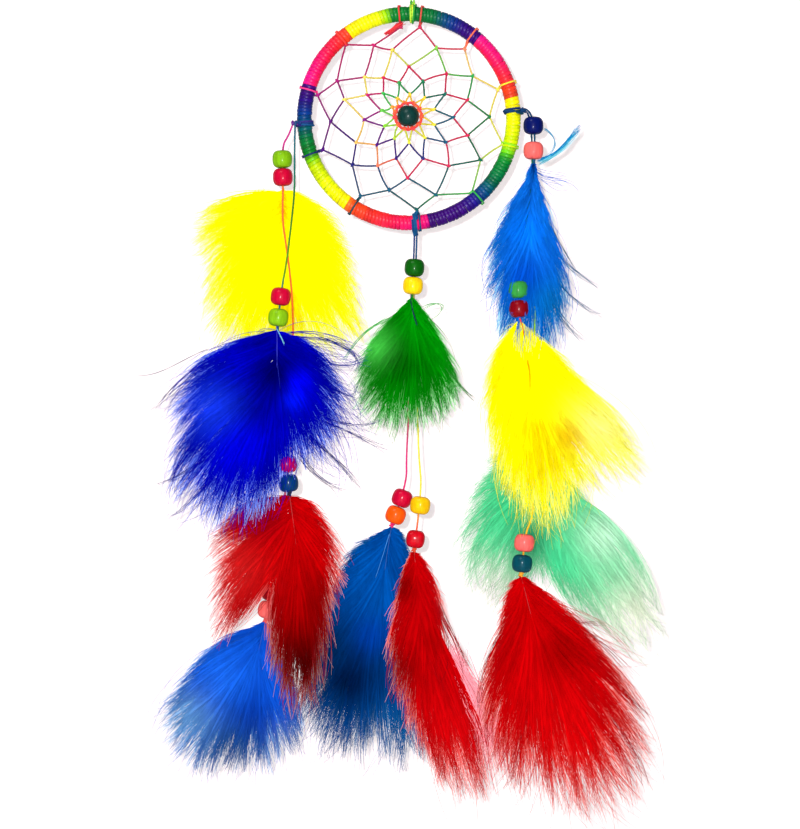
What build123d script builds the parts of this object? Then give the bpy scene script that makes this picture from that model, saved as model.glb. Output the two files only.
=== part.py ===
"""Dream catcher: a cord-wrapped hoop with a knotted web and three beaded tails of feathers.

Millimetres, +Z up, the hoop flat in the XZ plane with its front towards -Y. The origin is the
point where the hanging loop bears on its hook. Clock angles run clockwise from the hoop's top,
as seen from the front.
"""
from build123d import *
from math import cos, hypot, radians, sin, tan
import os

os.makedirs("parts", exist_ok=True)

# ---- driving dimensions ------------------------------------------------------------------------

# hoop: a rod bent into a ring, wound all round with cord
hoop_radius = 52.25          # centre line of the rod
core_radius = 2.6            # rod
wrap_thickness = 1.1         # one layer of winding cord
wrap_fit = 0.05              # rod to winding

# cords
cord_radius = 0.45           # web cord and tail strands
tie_width = 2.0              # turns of a tail's or the loop's hitch, side by side
tie_thickness = 0.9
tie_fit = 0.15               # winding to a hitch round it
knot_radius = 1.2            # knot that closes a hitch, which is the tail's hinge
knot_length = 2.4
stop_radius = 1.2            # knot under the last bead of a strand
stop_length = 1.6
hinge_gap = 0.3              # free gap each side of a hinge

# hanging loop
loop_height = 38.1           # bearing point to the knot above the hoop
loop_width = 6.6             # round the hook
hang_clock = 2.0             # where the loop holds the hoop

# web: one cord in rounds of eleven hitches, each round pulled in on the one before
hitch_clocks = [355.0, 320.0, 286.0, 250.0, 212.0, 174.3, 139.0, 105.0, 71.0, 37.5, 7.0]
round_pulls = [0.88, 0.81, 0.76, 0.63]
web_hitch_width = 1.2
web_knot_radius = 1.1
web_knot_height = 1.5        # across the net
web_fit = 0.1                # hitch to net, net to centre bead

# beads
bead_radius = 5.0
bead_length = 8.8
bead_shoulder = 1.5          # length of the rounded shoulder at each end
shoulder_depth = 1.2
bore_radius = 1.5
bead_gap = 0.2               # between the two beads of a pair
centre_bead_radius = 5.4
centre_bead_length = 10.2
centre_bead_shoulder = 3.0
centre_shoulder_depth = 2.6
centre_bead_side = -0.35     # off the hoop's centre
centre_bead_rise = 1.2

# feathers
quill_radius = 0.5
vane_thickness = 3.0
vane_gap = 1.3               # last bead to the top of the vane
quill_overlap = 8.0          # quill inside the vane

# places in a bore, off its centre line towards the front or back
strand_offset = 0.75
quill_offset = 0.7
twin_side = 0.6              # two strands side by side
twin_offset = 0.6

# tails: where each hitch sits round the hoop, and how far its knot stands off the rod's centre
left_clock = 267.2
centre_clock = 176.7
right_clock = 86.3
side_knot_reach = 6.2
side_knot_turn = 33.0        # forward of straight outwards, degrees
centre_knot_reach = 5.5

# flat-faced sections
hoop_facets = 48
rod_sides = 6
wrap_sides = 8
cord_sides = 6
bead_sides = 14
bore_sides = 6
tie_sides = 8
wind_sides = 16
web_knot_sides = 6
vane_facets = 7              # each side of a vane

# ---- sizes that follow -------------------------------------------------------------------------

tube_radius = core_radius + wrap_fit + wrap_thickness
tie_inner = (tube_radius + tie_fit) / cos(radians(180 / tie_sides))
tie_outer = tie_inner + tie_thickness
bead_pitch = bead_length + bead_gap
front = Vector(0, -1, 0)

hang_point = Vector(0, 0, -loop_height - tie_outer)
hoop_centre = hang_point - hoop_radius * Vector(sin(radians(hang_clock)), 0, cos(radians(hang_clock)))


def outward(clock):
    """Unit vector from the hoop's centre towards a clock angle."""
    return Vector(sin(radians(clock)), 0, cos(radians(clock)))


def tangent(clock):
    """Direction of the rod at a clock angle."""
    return Vector(cos(radians(clock)), 0, -sin(radians(clock)))


def on_rod(clock):
    """Point of the rod's centre line at a clock angle."""
    return hoop_centre + hoop_radius * outward(clock)


def knot_point(clock, reach, turn):
    """Centre of a hitch's knot, beside the rod and turned towards the front."""
    across = cos(radians(turn)) * outward(clock) + sin(radians(turn)) * front
    return on_rod(clock) + reach * across


left_hinge = knot_point(left_clock, side_knot_reach, side_knot_turn)
centre_hinge = knot_point(centre_clock, centre_knot_reach, 0)
right_hinge = knot_point(right_clock, side_knot_reach, side_knot_turn)


# ---- makers ------------------------------------------------------------------------------------

def save(part, name):
    """Labels a finished piece and writes it."""
    part.label = name
    export_step(part, f"parts/{name}.step")


def bend_radii(points):
    """Arc radius for each inner corner of a route, as large as its two runs allow."""
    found = []
    for before, corner, after in zip(points, points[1:], points[2:]):
        run_in = corner - before
        run_out = after - corner
        half_turn = radians(run_in.get_angle(run_out)) / 2
        found.append(0.45 * min(run_in.length, run_out.length) / tan(half_turn))
    return found


def strand(name, points, stop=None):
    """A cord along a route, with a knot at its end that stands off towards `stop`."""
    radii = bend_radii(points)
    with BuildPart() as cord:
        with BuildLine() as route:
            if radii:
                FilletPolyline(*points, radius=radii)
            else:
                Line(*points)
        with BuildSketch(Plane(origin=route.line @ 0, z_dir=route.line % 0)):
            RegularPolygon(cord_radius, cord_sides)
        sweep()
        if stop is not None:
            down = (points[-1] - points[-2]).normalized()
            knot_top = points[-1] - stop_length / 2 * down + (stop_radius - cord_radius) * stop
            with BuildSketch(Plane(origin=knot_top, z_dir=down)):
                RegularPolygon(stop_radius, tie_sides)
            extrude(amount=stop_length)
    run_sum = sum(edge.length for edge in route.line.edges())
    section = cord_sides / 2 * cord_radius ** 2 * sin(radians(360 / cord_sides))
    print(f"{name}: length {run_sum:.1f}, volume over section x length "
          f"{cord.part.volume / (section * run_sum):.3f}, radii {[round(r, 1) for r in radii]}")
    save(cord.part, name)


def bead(name, centre, axis, radius=bead_radius, length=bead_length,
         shoulder=bead_shoulder, depth=shoulder_depth):
    """A barrel bead with shoulders and a bore along its axis."""
    with BuildPart() as barrel:
        with BuildSketch(Plane(origin=centre - length / 2 * axis, z_dir=axis)):
            RegularPolygon(radius, bead_sides)
        extrude(amount=length)
        ends = barrel.faces().filter_by(lambda face: abs(face.normal_at().dot(axis)) > 0.99)
        chamfer(ends.edges(), shoulder, depth)
        with BuildSketch(Plane(origin=centre - length / 2 * axis, z_dir=axis)):
            RegularPolygon(bore_radius, bore_sides)
        extrude(amount=length, mode=Mode.SUBTRACT)
    save(barrel.part, name)


class BeadPair:
    """Two beads on one leaning axis, with the places of strands and quill in their bores."""

    def __init__(self, upper, lean, spacing=bead_pitch):
        self.axis = Vector(-sin(radians(lean)), 0, cos(radians(lean)))
        self.upper = upper
        self.lower = upper - spacing * self.axis

    def above(self, distance, side=0.0, back=0.0):
        """Point over the upper bead, off the bore's centre line."""
        return self.upper + (bead_length / 2 + distance) * self.axis + Vector(side, back, 0)

    def below(self, distance, side=0.0, back=0.0):
        """Point under the lower bead, off the bore's centre line."""
        return self.lower - (bead_length / 2 + distance) * self.axis + Vector(side, back, 0)

    def make(self, upper_name, lower_name):
        bead(upper_name, self.upper, self.axis)
        bead(lower_name, self.lower, self.axis)


def vane_side(controls, tip):
    """Flat facets along one curved side of a vane, from its top to its tip."""
    side = Bezier((0, 0), *controls, tip, mode=Mode.PRIVATE)
    return [side @ (step / vane_facets) for step in range(vane_facets + 1)]


def feather(name, pair, back, left, right, tip):
    """A feather whose quill is held in the lower bead, in front (-1) or at the back (1) of it.

    left and right are two curve controls of the vane's sides and tip is its end, all as X and Z
    from the top of the vane.
    """
    top = pair.below(vane_gap)
    middle = pair.lower.Y + back * vane_thickness / 2
    quill_top = pair.lower + Vector(0, back * quill_offset, 0)
    left_side = vane_side(left, tip)
    right_side = vane_side(right, tip)
    with BuildPart() as vane:
        with BuildSketch(Plane(origin=(top.X, middle, top.Z), x_dir=(1, 0, 0), z_dir=(0, -1, 0))):
            Polygon(*left_side, *reversed(right_side[1:-1]), align=None)
        extrude(amount=vane_thickness / 2, both=True)
        with BuildSketch(Plane(origin=quill_top, z_dir=-pair.axis)):
            RegularPolygon(quill_radius, cord_sides)
        extrude(amount=bead_length / 2 + vane_gap + quill_overlap)
    save(vane.part, name)


def hitch_band(clock, width):
    """The turns of a hitch round the wrapped rod."""
    with BuildPart() as band:
        with BuildSketch(Plane(origin=on_rod(clock), x_dir=outward(clock), z_dir=tangent(clock))):
            RegularPolygon(tie_outer, tie_sides, rotation=180 / tie_sides)
            RegularPolygon(tie_inner, tie_sides, rotation=180 / tie_sides, mode=Mode.SUBTRACT)
        extrude(amount=width / 2, both=True)
    return band.part


def tail_hitch(name, clock, hinge):
    """A tail's hitch round the hoop, with the knot that the tail swings on."""
    band = hitch_band(clock, tie_width)
    with BuildPart() as hitch:
        add(band)
        with BuildSketch(Plane(origin=hinge, z_dir=(1, 0, 0))):
            RegularPolygon(knot_radius, tie_sides)
        extrude(amount=knot_length / 2, both=True)
    save(hitch.part, name)


def route_from(hinge, *offsets):
    """Points of a route given as offsets from a hinge."""
    return [hinge + Vector(*offset) for offset in offsets]


def under(hinge, side=0.0):
    """Top end of a strand that hangs from a hitch's knot."""
    return hinge + Vector(side, 0, -knot_radius - hinge_gap)


# ---- hanger ------------------------------------------------------------------------------------

loop_band = hitch_band(hang_clock, tie_width)
with BuildPart() as hanging_loop:
    loop_top = cord_radius
    foot_side = knot_length / 4
    loop_points = [
        Vector(-foot_side, 0, -loop_height),
        Vector(-loop_width / 2, 0, loop_top),
        Vector(loop_width / 2, 0, loop_top),
        Vector(foot_side, 0, -loop_height),
    ]
    with BuildLine() as loop_route:
        FilletPolyline(*loop_points, radius=bend_radii(loop_points))
    with BuildSketch(Plane(origin=loop_route.line @ 0, z_dir=loop_route.line % 0)):
        RegularPolygon(cord_radius, cord_sides)
    sweep()
    with BuildSketch(Plane(origin=(0, 0, -loop_height), z_dir=(1, 0, 0))):
        RegularPolygon(knot_radius, tie_sides)
    extrude(amount=knot_length / 2, both=True)
    add(loop_band)
save(hanging_loop.part, "hanging_loop")

# ---- hoop --------------------------------------------------------------------------------------

hoop_plane = Plane(origin=hoop_centre, x_dir=(1, 0, 0), z_dir=(0, -1, 0))
rod_plane = Plane(origin=hoop_centre + Vector(hoop_radius, 0, 0), z_dir=(0, 0, 1))

corner_radius = hoop_radius / cos(radians(180 / hoop_facets))
corner_turns = [radians(360 * (facet + 0.5) / hoop_facets) for facet in range(hoop_facets)]
with BuildLine(hoop_plane) as hoop_line:
    Polyline(*[(corner_radius * cos(turn), corner_radius * sin(turn)) for turn in corner_turns],
             close=True)

with BuildPart() as hoop_ring:
    with BuildSketch(rod_plane):
        RegularPolygon(core_radius, rod_sides)
    sweep(path=hoop_line.wire(), transition=Transition.RIGHT)
save(hoop_ring.part, "hoop_ring")

with BuildPart() as hoop_wrap:
    with BuildSketch(rod_plane):
        RegularPolygon(tube_radius, wrap_sides)
        RegularPolygon(core_radius + wrap_fit, rod_sides, mode=Mode.SUBTRACT)
    sweep(path=hoop_line.wire(), transition=Transition.RIGHT)
save(hoop_wrap.part, "hoop_wrap")

# ---- web ---------------------------------------------------------------------------------------

bead_point = Vector(centre_bead_side, centre_bead_rise)
bead_corner = max(
    hypot(centre_bead_radius, centre_bead_length / 2 - centre_bead_shoulder),
    hypot(centre_bead_radius - centre_shoulder_depth, centre_bead_length / 2),
)
wind_radius = (bead_corner + web_fit) / cos(radians(180 / wind_sides)) + cord_radius
net_radius = hoop_radius - tie_outer - web_fit - web_knot_radius
hitch_count = len(hitch_clocks)


def web_knots():
    """Knots of the net in the hoop's plane, from its centre, in the order they are tied."""
    knots = [net_radius * Vector(sin(radians(c)), cos(radians(c))) for c in hitch_clocks]
    for pull in round_pulls:
        for _ in range(hitch_count):
            place = len(knots) - hitch_count
            middle = (knots[place] + knots[place + 1]) / 2
            knots.append(bead_point + pull * (middle - bead_point))
    for _ in range(hitch_count):
        place = len(knots) - hitch_count
        middle = (knots[place] + knots[place + 1]) / 2
        knots.append(bead_point + wind_radius * (middle - bead_point).normalized())
    return knots


knots = web_knots()
tied_count = hitch_count * (len(round_pulls) + 1)

with BuildPart() as web_net:
    with BuildSketch(hoop_plane):
        for place in range(tied_count):
            knot_on_it = knots[place + hitch_count]
            with BuildLine():
                Line(knots[place], knot_on_it)
            trace(line_width=2 * cord_radius)
            with BuildLine():
                Line(knot_on_it, knots[place + 1])
            trace(line_width=2 * cord_radius)
        with Locations(bead_point):
            RegularPolygon(wind_radius + cord_radius, wind_sides)
            RegularPolygon(wind_radius - cord_radius, wind_sides, mode=Mode.SUBTRACT)
            Rectangle(2 * cord_radius, 2 * wind_radius)
    extrude(amount=cord_radius, both=True)
    with BuildSketch(hoop_plane):
        with Locations(*knots[:tied_count]):
            RegularPolygon(web_knot_radius, web_knot_sides)
    extrude(amount=web_knot_height / 2, both=True)
save(web_net.part, "web_net")

web_bands = [hitch_band(clock, web_hitch_width) for clock in hitch_clocks]
with BuildPart() as web_hitches:
    add(web_bands)
save(web_hitches.part, "web_hitches")

centre_bead_place = hoop_centre + Vector(centre_bead_side, 0, centre_bead_rise)
bead("centre_bead", centre_bead_place, Vector(0, 0, 1), centre_bead_radius, centre_bead_length,
     centre_bead_shoulder, centre_shoulder_depth)

tail_hitch("left_hitch", left_clock, left_hinge)
tail_hitch("centre_hitch", centre_clock, centre_hinge)
tail_hitch("right_hitch", right_clock, right_hinge)

# ---- left tail ---------------------------------------------------------------------------------

left_yellow_pair = BeadPair(left_hinge + Vector(-5.95, 4.4, -17.5), 1.6)
left_blue_pair = BeadPair(left_hinge + Vector(-6.45, -3.1, -86.5), -6.8, 10.5)
left_red_pair = BeadPair(left_hinge + Vector(-3.45, -0.1, -170.0), 4.5, 9.5)
left_light_pair = BeadPair(left_hinge + Vector(-11.45, 8.9, -234.5), -12.5)

left_red_hinge = left_hinge + Vector(-2.9, -1.3, -160.5)
left_light_hinge = left_hinge + Vector(-0.45, 3.1, -110.5)

strand("left_cord_a_upper", [
    under(left_hinge, -knot_length / 4),
    *route_from(left_hinge, (-2.6, 1.2, -6.0)),
    left_yellow_pair.above(2.2, back=-strand_offset),
    left_yellow_pair.below(2.5, back=-strand_offset),
    *route_from(left_hinge, (-5.9, 3.1, -48.0), (-3.6, 2.9, -63.0), (-1.2, 3.0, -82.0), (-0.5, 3.1, -97.0)),
    left_light_hinge + Vector(0, 0, hinge_gap),
])
left_yellow_pair.make("left_bead_lime", "left_bead_crimson")
feather("left_yellow_feather", left_yellow_pair, 1,
        [(-40, -2), (-62, -44)], [(30, -8), (52, -50)], (-0.75, -74.5))

strand("left_cord_b_upper", [
    under(left_hinge, knot_length / 4),
    *route_from(left_hinge, (0.3, -0.4, -14.0), (0.5, -1.1, -33.0), (-0.9, -1.7, -47.0),
                (-2.6, -2.2, -62.0), (-4.3, -2.4, -74.0)),
    left_blue_pair.above(2.0, back=strand_offset),
    left_blue_pair.below(2.5, back=strand_offset),
    *route_from(left_hinge, (-5.4, -1.5, -122.0), (-3.4, -1.4, -143.0)),
    left_red_hinge + Vector(0, 0, hinge_gap),
])
left_blue_pair.make("left_bead_crimson_b", "left_bead_lime_b")
feather("left_royal_feather", left_blue_pair, -1,
        [(-42, -4), (-60, -60)], [(38, -6), (0, -45)], (-14, -94))

strand("left_cord_b_lower", [
    left_red_hinge - Vector(0, 0, hinge_gap),
    left_red_pair.above(1.4, back=-strand_offset),
    left_red_pair.below(stop_length * 0.6, back=-strand_offset),
], stop=front)
left_red_pair.make("left_bead_crimson_c", "left_bead_teal")
feather("left_red_feather", left_red_pair, 1,
        [(-24, -26), (-62, -50)], [(26, -22), (25, -60)], (10, -102))

strand("left_cord_a_lower", [
    left_light_hinge - Vector(0, 0, hinge_gap),
    *route_from(left_hinge, (-0.6, 5.4, -127.0), (-1.4, 7.3, -152.0), (-3.6, 8.0, -178.0),
                (-7.4, 8.1, -203.0), (-10.0, 8.1, -219.0)),
    left_light_pair.above(2.0, back=-strand_offset),
    left_light_pair.below(stop_length * 0.6, back=-strand_offset),
], stop=front)
left_light_pair.make("left_bead_dark_red", "left_bead_coral")
feather("left_lightblue_feather", left_light_pair, 1,
        [(-34, -16), (-92, -62)], [(18, -14), (32, -60)], (-14, -76))

# ---- centre tail -------------------------------------------------------------------------------

centre_green_pair = BeadPair(centre_hinge + Vector(-0.55, 0, -17.0), -4.5)
centre_blue_pair = BeadPair(centre_hinge + Vector(-6.75, 5.0, -132.4), -20.7)
centre_red_pair = BeadPair(centre_hinge + Vector(2.35, -1.0, -135.8), -8.0, 17.0)

centre_blue_hinge = centre_hinge + Vector(-3.75, 1.5, -97.0)
centre_red_hinge = centre_hinge + Vector(1.25, 1.5, -97.0)

for colour, side, hinge, lower_side in (
    ("magenta", -twin_side, centre_blue_hinge, -3.2),
    ("yellow", twin_side, centre_red_hinge, 0.3),
):
    strand(f"centre_cord_{colour}_upper", [
        under(centre_hinge, side),
        centre_green_pair.above(2.4, side, twin_offset),
        centre_green_pair.below(2.5, side, twin_offset),
        *route_from(centre_hinge, (lower_side * 0.6, 1.3, -48.0), (lower_side, 1.45, -76.0)),
        hinge + Vector(0, 0, hinge_gap),
    ])
centre_green_pair.make("centre_bead_green", "centre_bead_yellow")
feather("centre_green_feather", centre_green_pair, -1,
        [(-14, -18), (-54, -54)], [(14, -18), (50, -54)], (2, -63.5))

strand("centre_cord_magenta_lower", [
    centre_blue_hinge - Vector(0, 0, hinge_gap),
    *route_from(centre_hinge, (-4.6, 2.6, -111.0)),
    centre_blue_pair.above(2.4, back=-strand_offset),
    centre_blue_pair.below(stop_length * 0.6, back=-strand_offset),
], stop=front)
centre_blue_pair.make("centre_bead_crimson", "centre_bead_orange")
feather("centre_azure_feather", centre_blue_pair, 1,
        [(-26, -24), (-40, -88)], [(14, -20), (16, -80)], (10.5, -113))

strand("centre_cord_yellow_lower", [
    centre_red_hinge - Vector(0, 0, hinge_gap),
    *route_from(centre_hinge, (1.6, 0.6, -112.0)),
    centre_red_pair.above(3.0, back=-strand_offset),
    centre_red_pair.below(stop_length * 0.6, back=-strand_offset),
], stop=front)
centre_red_pair.make("centre_bead_yellow_b", "centre_bead_red")
feather("centre_red_feather", centre_red_pair, 1,
        [(-22, -26), (-16, -80)], [(16, -14), (34, -60)], (32.5, -116))

# ---- right tail --------------------------------------------------------------------------------

right_blue_pair = BeadPair(right_hinge + Vector(4.9, 2.4, -7.4), 0, 12.5)
right_yellow_pair = BeadPair(right_hinge + Vector(-2.9, -3.1, -89.6), 2.6, 9.5)
right_red_pair = BeadPair(right_hinge + Vector(0.3, -0.1, -215.8), -6.3, 10.4)
right_green_pair = BeadPair(right_hinge + Vector(3.15, 7.9, -160.0), 0)

right_yellow_hinge = right_blue_pair.below(2.5, -twin_side, -twin_offset)
right_red_hinge = right_hinge + Vector(4.3, -0.4, -202.0)
right_green_hinge = right_hinge + Vector(5.6, 1.7, -105.3)
knot_end = knot_length / 2 + hinge_gap

strand("right_cord_a_upper", [
    *route_from(right_hinge, (knot_end, 0, -0.6)),
    right_blue_pair.above(1.2, -twin_side, -twin_offset),
    right_yellow_hinge + Vector(0, 0, hinge_gap),
])
strand("right_cord_b_upper", [
    *route_from(right_hinge, (knot_end, 0, 0.6)),
    right_blue_pair.above(1.6, twin_side, -twin_offset),
    right_blue_pair.below(2.5, twin_side, -twin_offset),
    *route_from(right_hinge, (4.9, 1.2, -48.0), (6.4, 1.2, -76.0)),
    right_green_hinge + Vector(0, 0, hinge_gap),
])
right_blue_pair.make("right_bead_navy", "right_bead_coral")
feather("right_blue_feather", right_blue_pair, 1,
        [(-4, -34), (-42, -50)], [(6, -30), (66, -50)], (-14, -86))

strand("right_cord_a_middle", [
    right_yellow_hinge - Vector(0, 0, hinge_gap),
    *route_from(right_hinge, (3.0, 0.5, -43.0), (0.2, -0.9, -62.0)),
    right_yellow_pair.above(3.0, back=strand_offset),
    right_yellow_pair.below(2.5, back=strand_offset),
    *route_from(right_hinge, (-0.6, -1.6, -125.0), (2.2, -1.1, -149.0), (4.4, -0.7, -172.0),
                (4.9, -0.4, -190.0)),
    right_red_hinge + Vector(0, 0, hinge_gap),
])
right_yellow_pair.make("right_bead_green", "right_bead_dark_red")
feather("right_yellow_feather", right_yellow_pair, -1,
        [(-14, -20), (-28, -60)], [(40, -20), (95, -88)], (4.75, -90))

strand("right_cord_a_lower", [
    right_red_hinge - Vector(0, 0, hinge_gap),
    *route_from(right_hinge, (2.9, -0.7, -206.6)),
    right_red_pair.above(1.0, back=-strand_offset),
    right_red_pair.below(stop_length * 0.6, back=-strand_offset),
], stop=front)
right_red_pair.make("right_bead_coral_b", "right_bead_dark_teal")
feather("right_red_feather", right_red_pair, 1,
        [(-19, -20), (-42, -90)], [(40, -20), (96, -80)], (34, -116))

strand("right_cord_b_lower", [
    right_green_hinge - Vector(0, 0, hinge_gap),
    *route_from(right_hinge, (5.2, 3.6, -119.0), (4.0, 6.2, -137.0)),
    right_green_pair.above(3.0, back=-strand_offset),
    right_green_pair.below(stop_length * 0.6, back=-strand_offset),
], stop=front)
right_green_pair.make("right_bead_hidden", "right_bead_hidden_b")
feather("right_seagreen_feather", right_green_pair, 1,
        [(-34, -4), (-28, -60)], [(20, 2), (72, -30)], (50, -80))

for label, hinge in (
    ("hoop_tilt", hang_point), ("left_tail", left_hinge), ("left_red", left_red_hinge),
    ("left_lightblue", left_light_hinge), ("centre_tail", centre_hinge),
    ("centre_blue", centre_blue_hinge), ("centre_red", centre_red_hinge),
    ("right_tail", right_hinge), ("right_yellow", right_yellow_hinge),
    ("right_red", right_red_hinge), ("right_green", right_green_hinge),
):
    print(f"hinge {label}: ({hinge.X:.3f}, {hinge.Y:.3f}, {hinge.Z:.3f})")
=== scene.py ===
import math
import bpy
import numpy as np
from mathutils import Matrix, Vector


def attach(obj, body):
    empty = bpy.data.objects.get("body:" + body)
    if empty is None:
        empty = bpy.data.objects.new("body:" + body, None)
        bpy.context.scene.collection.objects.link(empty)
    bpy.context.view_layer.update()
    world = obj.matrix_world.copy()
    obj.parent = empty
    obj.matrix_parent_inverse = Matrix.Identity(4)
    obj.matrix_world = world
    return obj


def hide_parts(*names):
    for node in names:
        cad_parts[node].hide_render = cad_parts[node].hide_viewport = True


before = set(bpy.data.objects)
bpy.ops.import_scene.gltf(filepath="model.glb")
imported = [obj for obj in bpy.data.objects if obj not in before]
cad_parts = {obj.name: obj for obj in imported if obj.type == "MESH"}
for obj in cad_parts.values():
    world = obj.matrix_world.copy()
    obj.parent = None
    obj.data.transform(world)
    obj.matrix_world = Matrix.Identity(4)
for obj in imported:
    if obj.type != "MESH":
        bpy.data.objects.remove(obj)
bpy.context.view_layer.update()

# Everything below is worked out in millimetres, in the frame's axes, and written to Blender in metres.
# Tables are texts: numbers with spaces between them, and commas between the rows. Colours are sRGB.
MM = 0.001
ROUND = 2 * math.pi


def vec(x, y, z):
    return np.array((x, y, z), float)


def unit(v):
    return v / np.maximum(np.linalg.norm(v, axis=-1, keepdims=True), 1e-9)


def steps(n):
    """Even steps from 0 to 1."""
    return np.linspace(0, 1, n)


def numbers(table):
    """The rows of a table, each a list of numbers."""
    return [[float(word) for word in row.split()] for row in table.split(",") if row.strip()]


def rgb(red, green, blue):
    """An sRGB colour as linear light."""
    c = np.array((red, green, blue), float) / 255
    return np.where(c <= 0.04045, c / 12.92, ((c + 0.055) / 1.055) ** 2.4)


def between(at, places, values):
    """Rows of three values, read in between their places."""
    return np.stack([np.interp(at, places, values[:, k]) for k in range(3)], axis=-1)


def ramp(table):
    """Colour along a line, from rows of place and colour, or from one colour alone."""
    rows = [row if len(row) == 4 else [0.0, *row] for row in numbers(table)]
    places = [row[0] for row in rows]
    colours = np.array([rgb(*row[1:]) for row in rows])
    return lambda at: between(at, places, colours)


def circle(turn, u, v):
    """Places on the unit circle through the directions u and v."""
    turn = turn[..., None]
    return np.cos(turn) * u + np.sin(turn) * v


# ---- camera ----

VIEW_CENTRE = vec(-6.25, 0, -243.5)
VIEW_HEIGHT = 414.5
CAMERA_AWAY = 1600.0
SENSOR = 36.0


def add_object(name, data):
    made = bpy.data.objects.new(name, data)
    bpy.context.scene.collection.objects.link(made)
    return made


camera = add_object("camera", bpy.data.cameras.new("camera"))
camera.data.sensor_fit = "VERTICAL"
camera.data.sensor_height = SENSOR
camera.data.lens = SENSOR * CAMERA_AWAY / VIEW_HEIGHT
camera.location = (VIEW_CENTRE - vec(0, CAMERA_AWAY, 0)) * MM
camera.rotation_euler = (math.pi / 2, 0, 0)
bpy.context.scene.camera = camera

# ---- driving values, as the CAD part has them ----

HOOP_RADIUS = 52.25
TUBE_RADIUS = 3.75
CORD_RADIUS = 0.45
HITCH_GAP = 0.15
TIE_OUTER = (TUBE_RADIUS + HITCH_GAP) / math.cos(math.pi / 8) + 2 * CORD_RADIUS
LOOP_HEIGHT = 38.1
LOOP_WIDTH = 6.6
HANG_CLOCK = 2.0
KNOT_LENGTH = 2.4
BEAD_RADIUS = 5.0
BEAD_LENGTH = 8.8
BEAD_PITCH = 9.0
VANE_GAP = 1.3
VANE_THICKNESS = 3.0
STRAND_OFFSET = 0.75
TWIN_SIDE = 0.6
TWIN_OFFSET = 0.6
QUILL_OFFSET = 0.7
STRAND_BEND = 2.5
STOP_DROP = 0.96
HITCH_CLOCKS = [355.0, 320.0, 286.0, 250.0, 212.0, 174.3, 139.0, 105.0, 71.0, 37.5, 7.0]
ROUND_PULLS = [0.88, 0.81, 0.76, 0.63]
NET_GAP = 0.1
NET_KNOT = 1.1
NET_RADIUS = HOOP_RADIUS - TIE_OUTER - NET_GAP - NET_KNOT
WIND_RADIUS = 6.5
LEFT_CLOCK, CENTRE_CLOCK, RIGHT_CLOCK = 267.2, 176.7, 86.3
ALONG_X = vec(1, 0, 0)
FRONT = vec(0, -1, 0)

hang_point = vec(0, 0, -LOOP_HEIGHT - TIE_OUTER)


def outward(clock):
    turn = np.radians(clock)
    return np.stack([np.sin(turn), 0 * turn, np.cos(turn)], axis=-1)


def tangent(clock):
    turn = np.radians(clock)
    return np.stack([np.cos(turn), 0 * turn, -np.sin(turn)], axis=-1)


hoop_centre = hang_point - HOOP_RADIUS * outward(HANG_CLOCK)


def on_rod(clock):
    return hoop_centre + HOOP_RADIUS * outward(clock)


def knot_point(clock, reach, turn):
    """The place of a tail's knot, turned forwards round the rod by so many degrees."""
    turned = math.cos(math.radians(turn)) * outward(clock) + math.sin(math.radians(turn)) * FRONT
    return on_rod(clock) + reach * turned


left_hinge = knot_point(LEFT_CLOCK, 6.2, 33)
centre_hinge = knot_point(CENTRE_CLOCK, 5.5, 0)
right_hinge = knot_point(RIGHT_CLOCK, 6.2, 33)


class Pair:
    """Two beads on one leaning axis, and the body that carries them."""

    def __init__(self, body, upper, lean, spacing=BEAD_PITCH):
        self.body = body
        self.axis = vec(-math.sin(math.radians(lean)), 0, math.cos(math.radians(lean)))
        self.upper = upper
        self.lower = upper - spacing * self.axis

    def above(self, distance, side, back):
        return self.upper + (BEAD_LENGTH / 2 + distance) * self.axis + vec(side, back, 0)

    def below(self, distance, side=0.0, back=0.0):
        return self.lower - (BEAD_LENGTH / 2 + distance) * self.axis + vec(side, back, 0)

    def strand(self, above, below=STRAND_BEND, side=0.0, back=-STRAND_OFFSET):
        """Where a strand comes to the pair and where it leaves it."""
        return [self.above(above, side, back), self.below(below, side, back)]


left_yellow = Pair("left_tail", left_hinge + vec(-5.95, 4.4, -17.5), 1.6)
left_blue = Pair("left_blue", left_hinge + vec(-6.45, -3.1, -86.5), -6.8, 10.5)
left_red = Pair("left_red", left_hinge + vec(-3.45, -0.1, -170.0), 4.5, 9.5)
left_light = Pair("left_lightblue", left_hinge + vec(-11.45, 8.9, -234.5), -12.5)
centre_green = Pair("centre_tail", centre_hinge + vec(-0.55, 0, -17.0), -4.5)
centre_blue = Pair("centre_blue", centre_hinge + vec(-6.75, 5.0, -132.4), -20.7)
centre_red = Pair("centre_red", centre_hinge + vec(2.35, -1.0, -135.8), -8.0, 17.0)
right_blue = Pair("right_tail", right_hinge + vec(4.9, 2.4, -7.4), 0, 12.5)
right_yellow = Pair("right_yellow", right_hinge + vec(-2.9, -3.1, -89.6), 2.6, 9.5)
right_red = Pair("right_red", right_hinge + vec(0.3, -0.1, -215.8), -6.3, 10.4)
right_green = Pair("right_green", right_hinge + vec(3.15, 7.9, -160.0), 0)

left_red_hinge = left_hinge + vec(-2.9, -1.3, -160.5)
left_light_hinge = left_hinge + vec(-0.45, 3.1, -110.5)
centre_blue_hinge = centre_hinge + vec(-3.75, 1.5, -97.0)
centre_red_hinge = centre_hinge + vec(1.25, 1.5, -97.0)
right_yellow_hinge = right_blue.below(STRAND_BEND, -TWIN_SIDE, -TWIN_OFFSET)
right_red_hinge = right_hinge + vec(4.3, -0.4, -202.0)
right_green_hinge = right_hinge + vec(5.6, 1.7, -105.3)

# ---- meshes ----


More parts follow.
